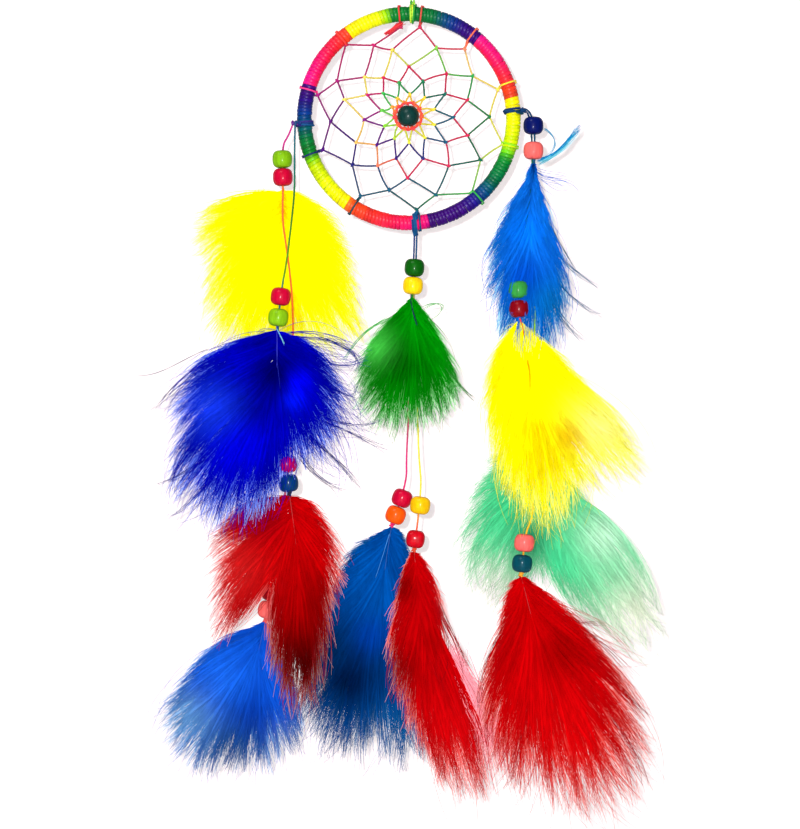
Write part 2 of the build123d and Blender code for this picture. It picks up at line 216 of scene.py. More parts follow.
def across(line):
    """Two directions across a line at each point, carried along it without twist."""
    along = unit(np.gradient(line, axis=0))
    out = [unit(np.cross(along[0], (0.31, 0.87, 0.38)))]
    for step in along[1:]:
        out.append(unit(out[-1] - step * (out[-1] @ step)))
    out = np.array(out)
    return out, np.cross(along, out)


def resample(line, step):
    along = np.concatenate([[0], np.cumsum(np.linalg.norm(np.diff(line, axis=0), axis=1))])
    at = np.linspace(0, along[-1], max(3, math.ceil(along[-1] / step) + 1))
    return between(at, along, line), at


class Shape:
    """Collects surfaces, each point with its tint, into one mesh."""

    def __init__(self):
        self.points, self.tints, self.faces, self.count = [], [], [], 0

    def add(self, points, tints, *faces):
        points = np.asarray(points, float).reshape(-1, 3)
        self.points.append(points)
        self.tints.append(np.broadcast_to(tints, points.shape).copy())
        self.faces += [np.asarray(f, int) + self.count for f in faces if len(f)]
        self.count += len(points)

    def grid(self, rings, tints, closed=False):
        """rings[k, s]: ring after ring of a tube, joined, and capped where it isn't closed."""
        n, sides = rings.shape[:2]
        k = np.arange(n if closed else n - 1)[:, None]
        s = np.arange(sides)[None, :]
        at = lambda a, b: (a % n) * sides + b % sides
        faces = [np.stack([at(k, s), at(k, s + 1), at(k + 1, s + 1), at(k + 1, s)], -1).reshape(-1, 4)]
        points, shades = rings.reshape(-1, 3), np.broadcast_to(tints, rings.shape).reshape(-1, 3)
        if not closed:
            points = np.concatenate([points, rings[:1].mean(1), rings[-1:].mean(1)])
            shades = np.concatenate([shades, shades[:1], shades[-1:]])
            ring = np.arange(sides)
            after = (ring + 1) % sides
            last = (n - 1) * sides
            faces.append(np.stack([np.full(sides, n * sides), after, ring], -1))
            faces.append(np.stack([np.full(sides, n * sides + 1), last + ring, last + after], -1))
        self.add(points, shades, *faces)

    def tube(self, line, radius, tints, sides=8):
        line = np.asarray(line, float)
        u, v = across(line)
        radius = np.broadcast_to(radius, len(line))[:, None, None]
        turn = np.arange(sides) * ROUND / sides
        rings = line[:, None] + radius * circle(turn, u[:, None], v[:, None])
        self.grid(rings, np.broadcast_to(tints, line.shape)[:, None])

    def rope(self, line, radius, colour, lay=2.6, step=0.4, rough=0.0, seed=1):
        """A laid cord along a line: three plies that turn round each other, one full turn in each lay."""
        colour = ramp(colour) if isinstance(colour, str) else colour
        line, at = resample(np.asarray(line, float), step)
        u, v = across(line)
        draw = np.random.default_rng(seed)
        for ply in range(3):
            wave = 1 + rough * draw.normal(size=len(line))[:, None]
            middle = line + 0.52 * radius * wave * circle(ROUND * (at / lay + ply / 3), u, v)
            shade = 0.94 + 0.12 * ply / 2 + 0.05 * draw.normal(size=len(line))[:, None]
            self.tube(middle, 0.66 * radius, np.clip(colour(at / max(at[-1], 1e-9)) * shade, 0, 1), 6)

    def hairs(self, lines, radii, tints):
        """Many tapered three-sided fibres at once: lines[n, m], radii[n, m], tints[n, m]."""
        n, m = lines.shape[:2]
        along = unit(np.gradient(lines, axis=1))
        u = unit(np.cross(along, unit(np.broadcast_to((0.2, 1.0, 0.3), along.shape))))
        v = np.cross(along, u)
        turn = np.arange(3) * ROUND / 3 + 0.5
        rings = lines[:, :, None] + radii[:, :, None, None] * circle(turn, u[:, :, None], v[:, :, None])
        root = np.arange(n)[:, None] * m * 3
        row = root[:, None] + np.arange(m - 1)[None, :, None] * 3
        a, b = row + np.arange(3), row + (np.arange(3) + 1) % 3
        quads = np.stack([a, b, b + 3, a + 3], -1).reshape(-1, 4)
        first = root + np.array([0, 2, 1])
        last = root + (m - 1) * 3 + np.arange(3)
        shades = np.broadcast_to(tints[:, :, None], rings.shape).reshape(-1, 3)
        self.add(rings, shades, quads, first, last)

    def ribbons(self, lines, halves, tints, normals):
        """Many flat tapered strips: lines[n, m], half widths[n, m], normals[n, 3]."""
        n, m = lines.shape[:2]
        along = unit(np.gradient(lines, axis=1))
        side = unit(np.cross(along, np.broadcast_to(normals[:, None], along.shape)))
        edges = np.stack([lines - side * halves[:, :, None], lines + side * halves[:, :, None]], 2)
        base = np.arange(n)[:, None] * m * 2 + np.arange(m - 1)[None] * 2
        quads = np.stack([base, base + 1, base + 3, base + 2], -1).reshape(-1, 4)
        self.add(edges, np.broadcast_to(tints[:, :, None], edges.shape).reshape(-1, 3), quads)

    def make(self, name, material, body, slot, node=None):
        """The mesh as a piece on a body, in the place of a CAD node where one is named."""
        points, tints = np.concatenate(self.points), np.concatenate(self.tints)
        mesh = bpy.data.meshes.new(name)
        mesh.vertices.add(len(points))
        mesh.vertices.foreach_set("co", (points * MM).ravel())
        corners = np.concatenate([f.ravel() for f in self.faces])
        sizes = np.concatenate([np.full(len(f), f.shape[1]) for f in self.faces])
        mesh.loops.add(len(corners))
        mesh.loops.foreach_set("vertex_index", corners)
        mesh.polygons.add(len(sizes))
        mesh.polygons.foreach_set("loop_start", np.concatenate([[0], np.cumsum(sizes)[:-1]]))
        mesh.polygons.foreach_set("use_smooth", np.ones(len(sizes), bool))
        mesh.update(calc_edges=True)
        mesh.validate()
        shade = mesh.color_attributes.new("tint", "FLOAT_COLOR", "POINT")
        shade.data.foreach_set("color", np.concatenate([tints, np.ones((len(tints), 1))], 1).ravel())
        mesh.materials.append(material)
        piece = add_object(name, mesh)
        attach(piece, body)
        if node:
            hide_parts(node)
        return piece


# ---- materials ----


def add_node(tree, kind, **values):
    """A shader node with some of its inputs set."""
    made = tree.nodes.new("ShaderNode" + kind)
    for name, value in values.items():
        made.inputs[name.replace("_", " ")].default_value = value
    return made


def finish(name, rough, grain, bump, shade, stretch=(1, 1, 1), coat=0.0, gloss=0.5):
    """A material that takes its colour from the tint, broken up by noise in colour, gloss and relief.

    rough is the roughness, grain the noise's scale per metre, bump the depth of its relief, shade how far it
    darkens, and stretch its scale along each axis.
    """
    made = bpy.data.materials.new(name)
    made.use_nodes = True
    tree = made.node_tree
    link = tree.links.new
    tint = add_node(tree, "Attribute")
    tint.attribute_name = "tint"
    mapping = add_node(tree, "Mapping", Scale=stretch)
    link(add_node(tree, "TexCoord").outputs["Object"], mapping.inputs["Vector"])
    noise = add_node(tree, "TexNoise", Scale=grain, Detail=4)
    link(mapping.outputs["Vector"], noise.inputs["Vector"])
    level = add_node(tree, "MapRange", From_Min=0.3, From_Max=0.7, To_Min=1 - shade, To_Max=1 + shade * 0.6)
    polish = add_node(tree, "MapRange", To_Min=max(0.05, rough - 0.08), To_Max=min(1.0, rough + 0.08))
    relief = add_node(tree, "Bump", Distance=bump * MM)
    link(noise.outputs["Fac"], level.inputs["Value"])
    link(noise.outputs["Fac"], polish.inputs["Value"])
    link(noise.outputs["Fac"], relief.inputs["Height"])
    colour = add_node(tree, "VectorMath")
    colour.operation = "SCALE"
    link(tint.outputs["Color"], colour.inputs[0])
    link(level.outputs["Result"], colour.inputs["Scale"])
    sockets = tree.nodes["Principled BSDF"].inputs
    link(colour.outputs["Vector"], sockets["Base Color"])
    link(polish.outputs["Result"], sockets["Roughness"])
    link(relief.outputs["Normal"], sockets["Normal"])
    sockets["Coat Weight"].default_value = coat
    sockets["Coat Roughness"].default_value = 0.14
    sockets["Specular IOR Level"].default_value = gloss
    return made


satin = finish("satin_wrap", 0.34, 1400, 0.05, 0.22, gloss=0.16)
cord_finish = finish("laid_cord", 0.5, 2600, 0.05, 0.22, gloss=0.14)
bead_finish = finish("lacquered_wood", 0.42, 260, 0.08, 0.2, (3.2, 3.2, 0.7), 0.12, 0.06)
centre_finish = finish("dark_lacquered_wood", 0.42, 300, 0.08, 0.3, (3.0, 3.0, 0.8), 0.14, 0.15)
feather_finish = finish("dyed_down", 0.7, 420, 0.02, 0.1, (1, 1, 0.35), gloss=0.0)
quill_finish = finish("dyed_quill", 0.45, 700, 0.03, 0.12, (1, 1, 0.2), gloss=0.15)
rod_finish = finish("rod", 0.45, 200, 0.05, 0.15)

# ---- cords ----


def route_line(points):
    """Points along the NURBS spline that has the route's points as its control points, in mm."""
    curve = bpy.data.curves.new("route", "CURVE")
    curve.dimensions = "3D"
    spline = curve.splines.new("NURBS")
    spline.points.add(len(points) - 1)
    for point, place in zip(spline.points, points):
        point.co = (*(place * MM), 1)
    spline.order_u = 3
    spline.use_endpoint_u = True
    curve.resolution_u = 32
    holder = bpy.data.objects.new("route", curve)
    read = bpy.data.meshes.new_from_object(holder)
    line = np.array([v.co[:] for v in read.vertices]) / MM
    bpy.data.meshes.remove(read)
    bpy.data.objects.remove(holder)
    bpy.data.curves.remove(curve)
    return line


def knot_turns(shape, place, axis, colour, radius, turns, cord=CORD_RADIUS):
    """A small tied knot: tight turns round an axis with one crossing over them."""
    axis = unit(np.asarray(axis, float))
    u = unit(np.cross(axis, (0.2, 0.9, 0.35)))
    v = np.cross(axis, u)
    f = steps(44)
    coil = place + radius * circle(ROUND * turns * f, u, v) + (f - 0.5)[:, None] * axis * cord * 1.9 * turns
    shape.rope(coil, cord, colour, lay=1.6, step=0.3)
    f = steps(18)
    over = place + (radius + cord * 0.9) * circle(-math.pi * f, u, v)
    over = over + (f - 0.5)[:, None] * axis * cord * 3.2
    shape.rope(over, cord * 0.9, colour, lay=1.6, step=0.3)


def strand(name, body, hinge, route, shades, slot, stop=False, fuzz=0):
    """A tail cord where it is a free cord of some length: a laid rope along its route, with a knot where it
    stops.
    """
    points = [hinge + vec(*place) if isinstance(place, tuple) else place for place in route]
    line = route_line(points)
    colour = ramp(shades)
    shape = Shape()
    shape.rope(line, CORD_RADIUS, colour, lay=2.4, step=0.35, rough=0.1, seed=len(name))
    if fuzz:
        draw = np.random.default_rng(fuzz)
        fine, _ = resample(line, 0.5)
        root = fine[draw.integers(2, len(fine) - 2, fuzz)]
        way = unit(draw.normal(size=(fuzz, 3)) * (1, 0.6, 1) + (0, 0, -0.9))
        long = draw.uniform(0.6, 1.5, (fuzz, 1, 1))
        f = steps(5)[None, :, None]
        lines = root[:, None] + way[:, None] * f * long + (0, 0, -0.5) * f ** 2 * long
        tints = np.broadcast_to(colour(0.5), lines.shape)
        shape.hairs(lines, np.broadcast_to(0.05 * (1.1 - f[..., 0]), lines.shape[:2]), tints)
    piece = shape.make(name + "_laid", cord_finish, body, slot, name)
    if stop:
        tied = Shape()
        down = unit(points[-1] - points[-2])
        knot_turns(tied, points[-1] + FRONT * 0.35, down, lambda f: colour(0 * f + 1), 0.62, 2.2)
        tied.make(name + "_knot", cord_finish, body, slot)


strand("left_cord_a_upper", "left_tail", left_hinge, [
    (-KNOT_LENGTH / 4, 0, -0.6), (-2.6, 1.2, -6.0), *left_yellow.strand(2.2),
    (-5.9, 3.1, -48.0), (-3.6, 2.9, -63.0), (-1.2, 3.0, -82.0), (-0.5, 3.1, -97.0), left_light_hinge,
], "0 205 40 140, 0.13 190 30 130, 0.24 245 105 50, 1 255 115 30", "cord_magenta", fuzz=60)
strand("left_cord_b_upper", "left_blue", left_hinge, [
    (KNOT_LENGTH / 4, 0, -0.6), (0.3, -0.4, -14.0), (0.5, -1.1, -33.0), (-0.9, -1.7, -47.0),
    (-2.6, -2.2, -62.0), (-4.3, -2.4, -74.0), *left_blue.strand(2.0, back=STRAND_OFFSET),
    (-5.4, -1.5, -122.0), (-3.4, -1.4, -143.0), left_red_hinge,
], "0 20 95 120, 0.15 20 105 90, 0.23 45 120 35, 0.47 95 145 25, 0.53 30 120 130, 1 20 60 90",
    "cord_teal", fuzz=90)
strand("left_cord_b_lower", "left_red", left_hinge, [left_red_hinge, *left_red.strand(1.4, STOP_DROP)],
       "0 60 50 70, 1 40 40 60", "cord_teal_b", stop=True)
strand("left_cord_a_lower", "left_lightblue", left_hinge, [
    left_light_hinge, (-0.6, 5.4, -127.0), (-1.4, 7.3, -152.0), (-3.6, 8.0, -178.0), (-7.4, 8.1, -203.0),
    (-10.0, 8.1, -219.0), *left_light.strand(2.0, STOP_DROP),
], "0 255 115 40, 1 240 80 70", "cord_orange", stop=True)

for shades, side, end, low_side, name, slot in (
    ("0 20 60 120, 0.2 20 60 110, 0.35 90 40 110, 0.6 200 30 100, 1 215 40 120",
     -TWIN_SIDE, centre_blue_hinge, -3.2, "magenta", "cord_magenta_b"),
    ("0 10 70 120, 0.25 20 80 100, 0.4 230 210 60, 1 245 225 80",
     TWIN_SIDE, centre_red_hinge, 0.3, "yellow", "cord_yellow"),
):
    strand(f"centre_cord_{name}_upper", "centre_tail", centre_hinge, [
        (side, 0, -0.6), *centre_green.strand(2.4, side=side, back=TWIN_OFFSET),
        (low_side * 0.6, 1.3, -48.0), (low_side, 1.45, -76.0), end,
    ], shades, slot, fuzz=30)
strand("centre_cord_magenta_lower", "centre_blue", centre_hinge, [
    centre_blue_hinge, (-4.6, 2.6, -111.0), *centre_blue.strand(2.4, STOP_DROP),
], "0 215 40 120, 1 225 40 110", "cord_magenta_c", stop=True)
strand("centre_cord_yellow_lower", "centre_red", centre_hinge, [
    centre_red_hinge, (1.6, 0.6, -112.0), *centre_red.strand(3.0, STOP_DROP),
], "0 245 225 80, 0.55 250 220 60, 0.8 240 100 60, 1 230 80 50", "cord_yellow_b", stop=True)

knot_end = KNOT_LENGTH / 2 - 0.2
strand("right_cord_a_upper", "right_tail", right_hinge, [
    (knot_end, 0, -0.6), *right_blue.strand(1.2, side=-TWIN_SIDE, back=-TWIN_OFFSET),
], "0 10 50 90, 0.5 10 60 80, 1 10 110 90", "cord_navy", fuzz=10)
strand("right_cord_b_upper", "right_tail", right_hinge, [
    (knot_end, 0, 0.6), *right_blue.strand(1.6, side=TWIN_SIDE, back=-TWIN_OFFSET),
    (4.9, 1.2, -48.0), (6.4, 1.2, -76.0), right_green_hinge,
], "0 10 60 100, 0.3 10 90 120, 0.75 20 140 110, 0.82 90 200 60, 1 150 215 60", "cord_green", fuzz=40)
strand("right_cord_a_middle", "right_yellow", right_hinge, [
    right_yellow_hinge, (3.0, 0.5, -43.0), (0.2, -0.9, -62.0), *right_yellow.strand(3.0, back=STRAND_OFFSET),
    (-0.6, -1.6, -125.0), (2.2, -1.1, -149.0), (4.4, -0.7, -172.0), (4.9, -0.4, -190.0), right_red_hinge,
], "0 0 90 110, 0.3 0 100 110, 0.42 20 120 60, 0.5 250 130 30, 0.8 250 190 30, 1 245 200 40",
    "cord_orange_b", fuzz=40)
strand("right_cord_a_lower", "right_red", right_hinge, [
    right_red_hinge, (2.9, -0.7, -206.6), *right_red.strand(1.0, STOP_DROP),
], "0 245 200 40, 1 250 170 50", "cord_yellow_c", stop=True)
strand("right_cord_b_lower", "right_green", right_hinge, [
    right_green_hinge, (5.2, 3.6, -119.0), (4.0, 6.2, -137.0), *right_green.strand(3.0, STOP_DROP),
], "0 150 215 60, 1 60 160 90", "cord_green_b", stop=True)

# ---- hoop ----

# winding colours by clock angle, blended from one to the next
WRAP = numbers("""
    -9 0 140 50, 4 0 125 50, 14 0 115 55, 20 0 80 125, 26 10 50 150, 31 50 5 130, 41.5 65 0 120,
    42.3 255 20 150, 56 255 20 125, 66 255 35 80, 73 255 60 45, 78.4 250 75 40, 79.2 255 225 0,
    92 235 245 0, 105 205 240 0, 110 80 195 20, 114 5 140 45, 127 0 110 70, 135 0 78 135, 142 35 20 140,
    150 60 0 125, 169.6 60 0 110, 170.4 225 0 120, 178 255 15 125, 190 255 25 85, 202 255 50 50,
    211 255 75 35, 215.4 255 105 35, 216.2 255 235 0, 230 240 255 0, 243 215 245 0, 247 125 215 0,
    250.5 10 145 40, 259 0 125 60, 266 0 95 120, 273 0 60 150, 280 45 10 135, 288.2 75 0 120,
    289 255 20 155, 302 255 15 125, 313 255 28 80, 320 250 50 55, 325 245 75 45, 325.8 255 225 0,
    333 255 245 0, 344 225 235 0, 348 140 215 0, 351.2 0 140 50
""")
WRAP_START = 9
wrap_edges = [row[0] for row in WRAP]
# the cord looks a little darker than these colours, and most of all where its dye is dark
wrap_shades = np.array([rgb(*row[1:]) * (0.92 if max(row[1:]) > 190 else 0.8) for row in WRAP])


def wrap_colour(clock):
    return between((clock + WRAP_START) % 360 - WRAP_START, wrap_edges, wrap_shades)


TURNS = 184
TURN_STEPS = 30
BAND_THICKNESS = 1.15
BAND_SIDES = 16
draw = np.random.default_rng(11)
widths = 1 + 0.10 * draw.normal(size=TURNS).clip(-2, 2)
# how loosely the cord was wound: in places the turns heap up and part
slack = np.interp(np.arange(TURNS) * 360 / TURNS, [0, 22, 40, 228, 240, 284, 292, 322, 330, 346, 360],
                  [0.14, 0.12, 0.03, 0.03, 0.36, 0.36, 0.16, 0.12, 0.03, 0.08, 0.14])
beat = np.cumsum(0.5 * (1 + 0.16 * draw.normal(size=TURNS)))
swell = (0.5 + 0.5 * np.cos(ROUND * beat)) ** 0.7
loose = 0.7 * slack * (swell - 0.4)
ends = np.concatenate([[0], np.cumsum(widths)]) * 360 / widths.sum()
turn_at = np.arange(TURNS * TURN_STEPS + 1) / TURN_STEPS
mid_turns = np.arange(TURNS) + 0.5
clock_at = np.interp(turn_at, np.arange(TURNS + 1), ends)
rise = np.interp(turn_at, mid_turns, loose + 0.05 * draw.normal(size=TURNS))
turn = turn_at * ROUND
reach = (TUBE_RADIUS - BAND_THICKNESS / 2 + rise)[:, None]
line = on_rod(clock_at) + reach * circle(turn, outward(clock_at), FRONT)
tint = wrap_colour(clock_at + 0.35 * np.sin(turn))
tint = tint * (1 + 0.09 * draw.normal(size=TURNS + 1)[turn_at.astype(int)])[:, None]
# painted sheen: the pinks lose their blue on the inside of the ring, a colour shift that stands in for the
# light on the satin
inner = 0.5 - 0.5 * np.cos(turn)
pinks = np.clip((tint[:, :1] - 0.6) / 0.3, 0, 1) * np.clip((0.35 - tint[:, 1:2]) / 0.3, 0, 1)
tint = tint * (1 - pinks * inner[:, None] * np.array([0, 0, 0.75]))
# painted shade: the turns are darker where they sink between the heaps of loose winding
tint = tint * (1 - 0.4 * np.interp(turn_at, mid_turns, (1 - swell) * slack / 0.36)[:, None])
# each turn is a flat satin band with painted light and shade: lighter along its middle, darker in the grooves
# between the turns
band = np.arange(BAND_SIDES) * ROUND / BAND_SIDES
half = 0.54 * ROUND * HOOP_RADIUS / TURNS * np.interp(turn_at, np.arange(TURNS), widths)
thick = BAND_THICKNESS / 2 * np.sign(np.sin(band)) * np.abs(np.sin(band)) ** 0.4
rings = line[:, None] + half[:, None, None] * np.cos(band)[:, None] * tangent(clock_at)[:, None]
rings = rings + thick[:, None] * ((line - on_rod(clock_at))[:, None] / reach[:, None])
groove_shade = 1.02 - 0.16 * np.abs(np.cos(band)) ** 2.5
winding = Shape()
winding.grid(rings[:-1], np.clip(tint[:, None] * groove_shade[:, None], 0, 1)[:-1])
winding.make("hoop_winding", satin, "hoop", "wrap_cord", "hoop_wrap")

RING = TUBE_RADIUS + CORD_RADIUS + 0.05


def hitch_turns(shape, clock, colour, turns, pitch, radius=RING, cord=CORD_RADIUS, start=0.0, lean=0.0):
    """Turns of cord round the wrapped rod, side by side."""
    f = steps(max(12, int(turns * 40)))
    angle = ROUND * (start + turns * f)
    shift = pitch * turns * (f - 0.5) + lean * np.cos(angle)
    ring = on_rod(clock) + shift[:, None] * tangent(clock) + radius * circle(angle, outward(clock), FRONT)
    shape.rope(ring, cord, colour, lay=2.0, step=0.35)


# ---- web ----

# colour of the cord, by the number of the knot that it comes from
WEB = ramp("""
    0 205 45 100, 1 200 30 110, 2 170 30 130, 3 85 20 130, 4 30 95 125, 5 25 100 95, 6 90 200 90,
    7 235 235 90, 8 252 228 90, 8.9 255 215 125, 9.05 230 75 95, 10 215 45 90, 11 200 35 110, 12 170 30 120,
    12.6 120 20 125, 13.4 60 15 125, 14 40 35 125, 15 25 95 130, 16 20 100 115, 17 20 110 80, 18 30 130 70,
    19 50 170 80, 20 140 215 80, 21 250 230 90, 23 255 232 110, 24 255 200 100, 25 250 130 90, 26 225 40 90,
    32 215 30 80, 33 205 30 120, 34 140 20 140, 35 90 15 135, 36 60 20 130, 37 40 50 130, 38 25 95 130,
    39 20 100 125, 40 20 110 95, 41 25 130 85, 42 50 170 85, 43 60 190 85, 44 110 215 80, 45 150 225 60,
    47 235 235 70, 50 255 225 70, 53 255 205 60, 55 255 110 60, 58 250 80 80
""")
# how far some knots were pulled aside when they were tied: number of the knot, X and Z
PULLED = {int(index): vec(x, 0, z) for index, x, z in numbers("""
    1 -2 1.7, 2 -1.5 -1, 5 -0.7 0, 6 1.3 -2.8, 7 2.8 -1, 8 1.2 -0.5, 9 0 -1.7, 11 -1.9 0, 12 -1.8 -2.8,
    14 1.5 0.7, 15 -0.9 1.2, 16 -2 -1.8, 17 1.3 1.2, 19 0 -0.7, 20 -1 -0.3, 21 -3 -2, 22 -0.5 -2,
    23 -1.8 2.3, 24 1 -2.3, 26 -2 0, 28 -1.5 -0.7, 30 0.4 -0.8, 31 -2.2 -2.4, 32 -0.3 -2.2
""")}
EVENLY = vec(0, 0, 0)
# the number from which each cord keeps one colour, and how much darker the cords look than their knots
LAST_SHADED = 54
WEB_DARKENED = 0.66
bead_middle = vec(-0.35, 0, 1.2)
count = len(HITCH_CLOCKS)
flat_knots = [NET_RADIUS * outward(clock) + PULLED.get(index, EVENLY)
              for index, clock in enumerate(HITCH_CLOCKS)]
# each round hangs from the middles of the one before, and the last is wound round the bead
for pull in (*ROUND_PULLS, None):
    for _ in range(count):
        place = len(flat_knots) - count
        middle = (flat_knots[place] + flat_knots[place + 1]) / 2 - bead_middle
        drawn = pull * middle if pull else WIND_RADIUS * unit(middle)
        flat_knots.append(bead_middle + drawn + PULLED.get(len(flat_knots), EVENLY))
knots = [hoop_centre + k for k in flat_knots]
tied = count * (len(ROUND_PULLS) + 1)


def web_shade(number):
    return lambda f: WEB(number + 0 * f)


web = Shape()
draw = np.random.default_rng(5)
for place in range(tied):
    low = knots[place + count]
    for index, (a, b) in enumerate(((knots[place], low), (low, knots[place + 1]))):
        f = steps(9)[:, None]
        side = unit(np.cross(b - a, FRONT))
        bow = draw.normal() * 0.25 * side + FRONT * draw.uniform(-0.1, 0.25)
        path = a + (b - a) * f + bow * np.sin(math.pi * f) + FRONT * 0.25 * (1 - f if index else f)
        number = place + index / 2
        runs = 0.5 if number < LAST_SHADED else 0
        colour = lambda t: WEB_DARKENED * WEB(number + t * runs)
        web.rope(path, CORD_RADIUS * 1.05, colour, lay=2.0, step=0.55, seed=place)
for place in range(count, tied):
    before, after = knots[place - count], knots[place - count + 1]
    lies = unit(after - before) + 0.4 * draw.normal() * unit(knots[place] - hoop_centre)
    knot_turns(web, knots[place] + 0.15 * FRONT, lies, web_shade(place), 0.52, 1.6, 0.4)
for place in range(count):
    knot_turns(web, knots[place], tangent(HITCH_CLOCKS[place]), web_shade(place), 0.62, 1.8, 0.42)
# the last round: loops drawn tight round the bead, and the cord that goes through its bore
around = hoop_centre + bead_middle
CORAL = "250 75 65"
for wider, depth, phase, shades in (
    (0.15, -0.5, 0.1, f"0 {CORAL}, 0.4 255 95 60, 1 240 60 80"),
    (-0.3, 0.35, 0.55, f"0 255 110 60, 0.6 {CORAL}, 1 235 50 80"),
    (0.3, 0.1, 0.8, f"0 {CORAL}, 0.35 235 50 70, 0.75 255 95 60, 1 {CORAL}"),
):
    angle = np.linspace(0, ROUND, 90)
    wave = WIND_RADIUS + wider + 0.28 * np.sin(11 * angle + phase * 9) + 0.15 * np.sin(4 * angle + phase * 5)
    loop = around + wave[:, None] * outward(np.degrees(angle + phase))
    web.rope(loop + FRONT * (depth + 0.35 * np.sin(11 * angle))[:, None], CORD_RADIUS, shades, lay=1.9)
for index in range(count):
    at = knots[tied + index]
    out = unit(at - around)
    side = unit(np.cross(out, FRONT))
    shade = f"0 {CORAL}, 1 " + ("255 110 60" if index % 3 else "245 60 80")
    for lean in (-0.35, 0.35):
        leg = at + out * np.linspace(-0.6, draw.uniform(0.8, 1.5), 8)[:, None]
        leg = leg + side * (lean * np.linspace(0.4, 1.6, 8))[:, None]
        leg = leg + FRONT * 0.5 * np.sin(np.linspace(0.3, 2.8, 8))[:, None]
        web.rope(leg, CORD_RADIUS, shade, lay=1.9)
    knot_turns(web, at + out * 0.2, np.cross(out, FRONT), shade, 0.6, 1.5, 0.4)
through = around + vec(0, 0, 1) * np.linspace(WIND_RADIUS, -WIND_RADIUS, 12)[:, None]
web.rope(through, CORD_RADIUS * 0.94, CORAL, lay=2.0)
web.make("web_cord", cord_finish, "hoop", "web_cord", "web_net")

HITCH_SHADES = """
    225 60 60, 255 70 60, 255 60 140, 25 40 100, 20 70 80, 20 70 110, 50 170 70, 150 225 30, 250 220 60,
    250 110 80, 215 80 70
""".split(",")
hitches = Shape()
for index, (clock, shade) in enumerate(zip(HITCH_CLOCKS, HITCH_SHADES)):
    f = steps(22)
    for lean in (-1, 1):
        shift = 0.42 * lean + 0.12 * np.sin(math.pi * f)
        turned = circle(ROUND * (0.5 + f * 0.5 * lean), outward(clock), FRONT)
        ring = on_rod(clock) + shift[:, None] * tangent(clock) + RING * turned
        leg = knots[index] + (ring[0] - knots[index]) * np.linspace(0, 0.9, 6)[:, None]
        hitches.rope(np.concatenate([leg, ring]), CORD_RADIUS * 0.95, shade, lay=2.0, seed=index)
# the frayed end of the cord at the hoop's top left
FRAYED = 70
draw = np.random.default_rng(3)
f = steps(12)[None, :, None]
root = hoop_centre + (HOOP_RADIUS - 4.6) * outward(355.0) + draw.normal(size=(FRAYED, 3)) * (0.75, 0.6, 0.45)
tip = vec(-13.2, -1.2, -53.6) + draw.normal(size=(FRAYED, 3)) * (0.9, 0.6, 0.5)
lines = root[:, None] + (tip - root)[:, None] * f * draw.uniform(0.75, 1.05, (FRAYED, 1, 1))
lines = lines + FRONT * np.sin(math.pi * f) * 0.8
shade = rgb(240, 60, 70) * draw.uniform(0.75, 1.1, (FRAYED, 1, 1))
hitches.hairs(lines, np.broadcast_to(0.24 - 0.12 * f[..., 0], lines.shape[:2]),
              np.clip(np.broadcast_to(shade, lines.shape), 0, 1))
hitches.make("web_ties", cord_finish, "hoop", "web_cord", "web_hitches")

# ---- hitches of the tails and the hanging loop ----


def lead(shape, clock, spread, forward, knot, points, shades):
    """A cord from the turns round the hoop to a tail's knot."""
    start = on_rod(clock + spread) + RING * unit(outward(clock) + forward * FRONT)
    shape.rope(start + (knot - start) * steps(points)[:, None], CORD_RADIUS, shades)


tie = Shape()
hitch_turns(tie, LEFT_CLOCK, "0 40 25 110, 0.5 20 60 125, 1 70 20 120", 3.0, 0.85, start=0.05)
hitch_turns(tie, LEFT_CLOCK - 0.6, "0 15 80 130, 1 30 50 120", 1.0, 0.9, RING + 0.35, start=0.2, lean=0.5)
knot_turns(tie, left_hinge, ALONG_X, "0 110 30 130, 1 30 80 130", 0.75, 2.4)
lead(tie, LEFT_CLOCK, -0.7, 0.9, left_hinge, 8, "120 30 130")
lead(tie, LEFT_CLOCK, 0.7, 0.9, left_hinge, 8, "25 85 125")
tie.make("left_tie", cord_finish, "hoop", "tie_teal", "left_hitch")

tie = Shape()
hitch_turns(tie, CENTRE_CLOCK, "0 10 70 130, 0.5 20 90 140, 1 15 60 120", 3.0, 0.9, cord=0.5, start=0.3)
knot_turns(tie, centre_hinge, ALONG_X, "0 20 90 140, 1 15 60 110", 0.8, 2.4)
net_knot = hoop_centre + NET_RADIUS * outward(HITCH_CLOCKS[5])
for spread in (-0.9, 0.9):
    lead(tie, CENTRE_CLOCK, spread, 0.5, centre_hinge, 6, "0 20 90 140, 1 20 70 120")
    start = on_rod(CENTRE_CLOCK + spread) - 3.6 * outward(CENTRE_CLOCK) + 1.8 * FRONT
    inward = start + (net_knot - start) * np.linspace(0, 0.8, 6)[:, None]
    tie.rope(inward, CORD_RADIUS, "0 20 90 140, 1 20 90 130")
tie.make("centre_tie", cord_finish, "hoop", "tie_blue", "centre_hitch")

tie = Shape()
hitch_turns(tie, RIGHT_CLOCK, "0 10 40 100, 0.5 10 60 90, 1 10 40 90", 2.0, 1.3, cord=0.55, start=0.1)
hitch_turns(tie, RIGHT_CLOCK + 0.4, "0 15 60 110, 1 10 70 90", 1.0, 0.8, RING + 0.5, 0.5, 0.2, 0.6)
knot_turns(tie, right_hinge, ALONG_X, "0 10 60 110, 1 10 50 90", 0.78, 2.6)
lead(tie, RIGHT_CLOCK, -0.8, 0.9, right_hinge, 8, "0 10 50 100, 1 10 60 100")
lead(tie, RIGHT_CLOCK, 0.9, 0.9, right_hinge, 8, "0 10 50 100, 1 10 60 100")
tie.make("right_tie", cord_finish, "hoop", "tie_navy", "right_hitch")

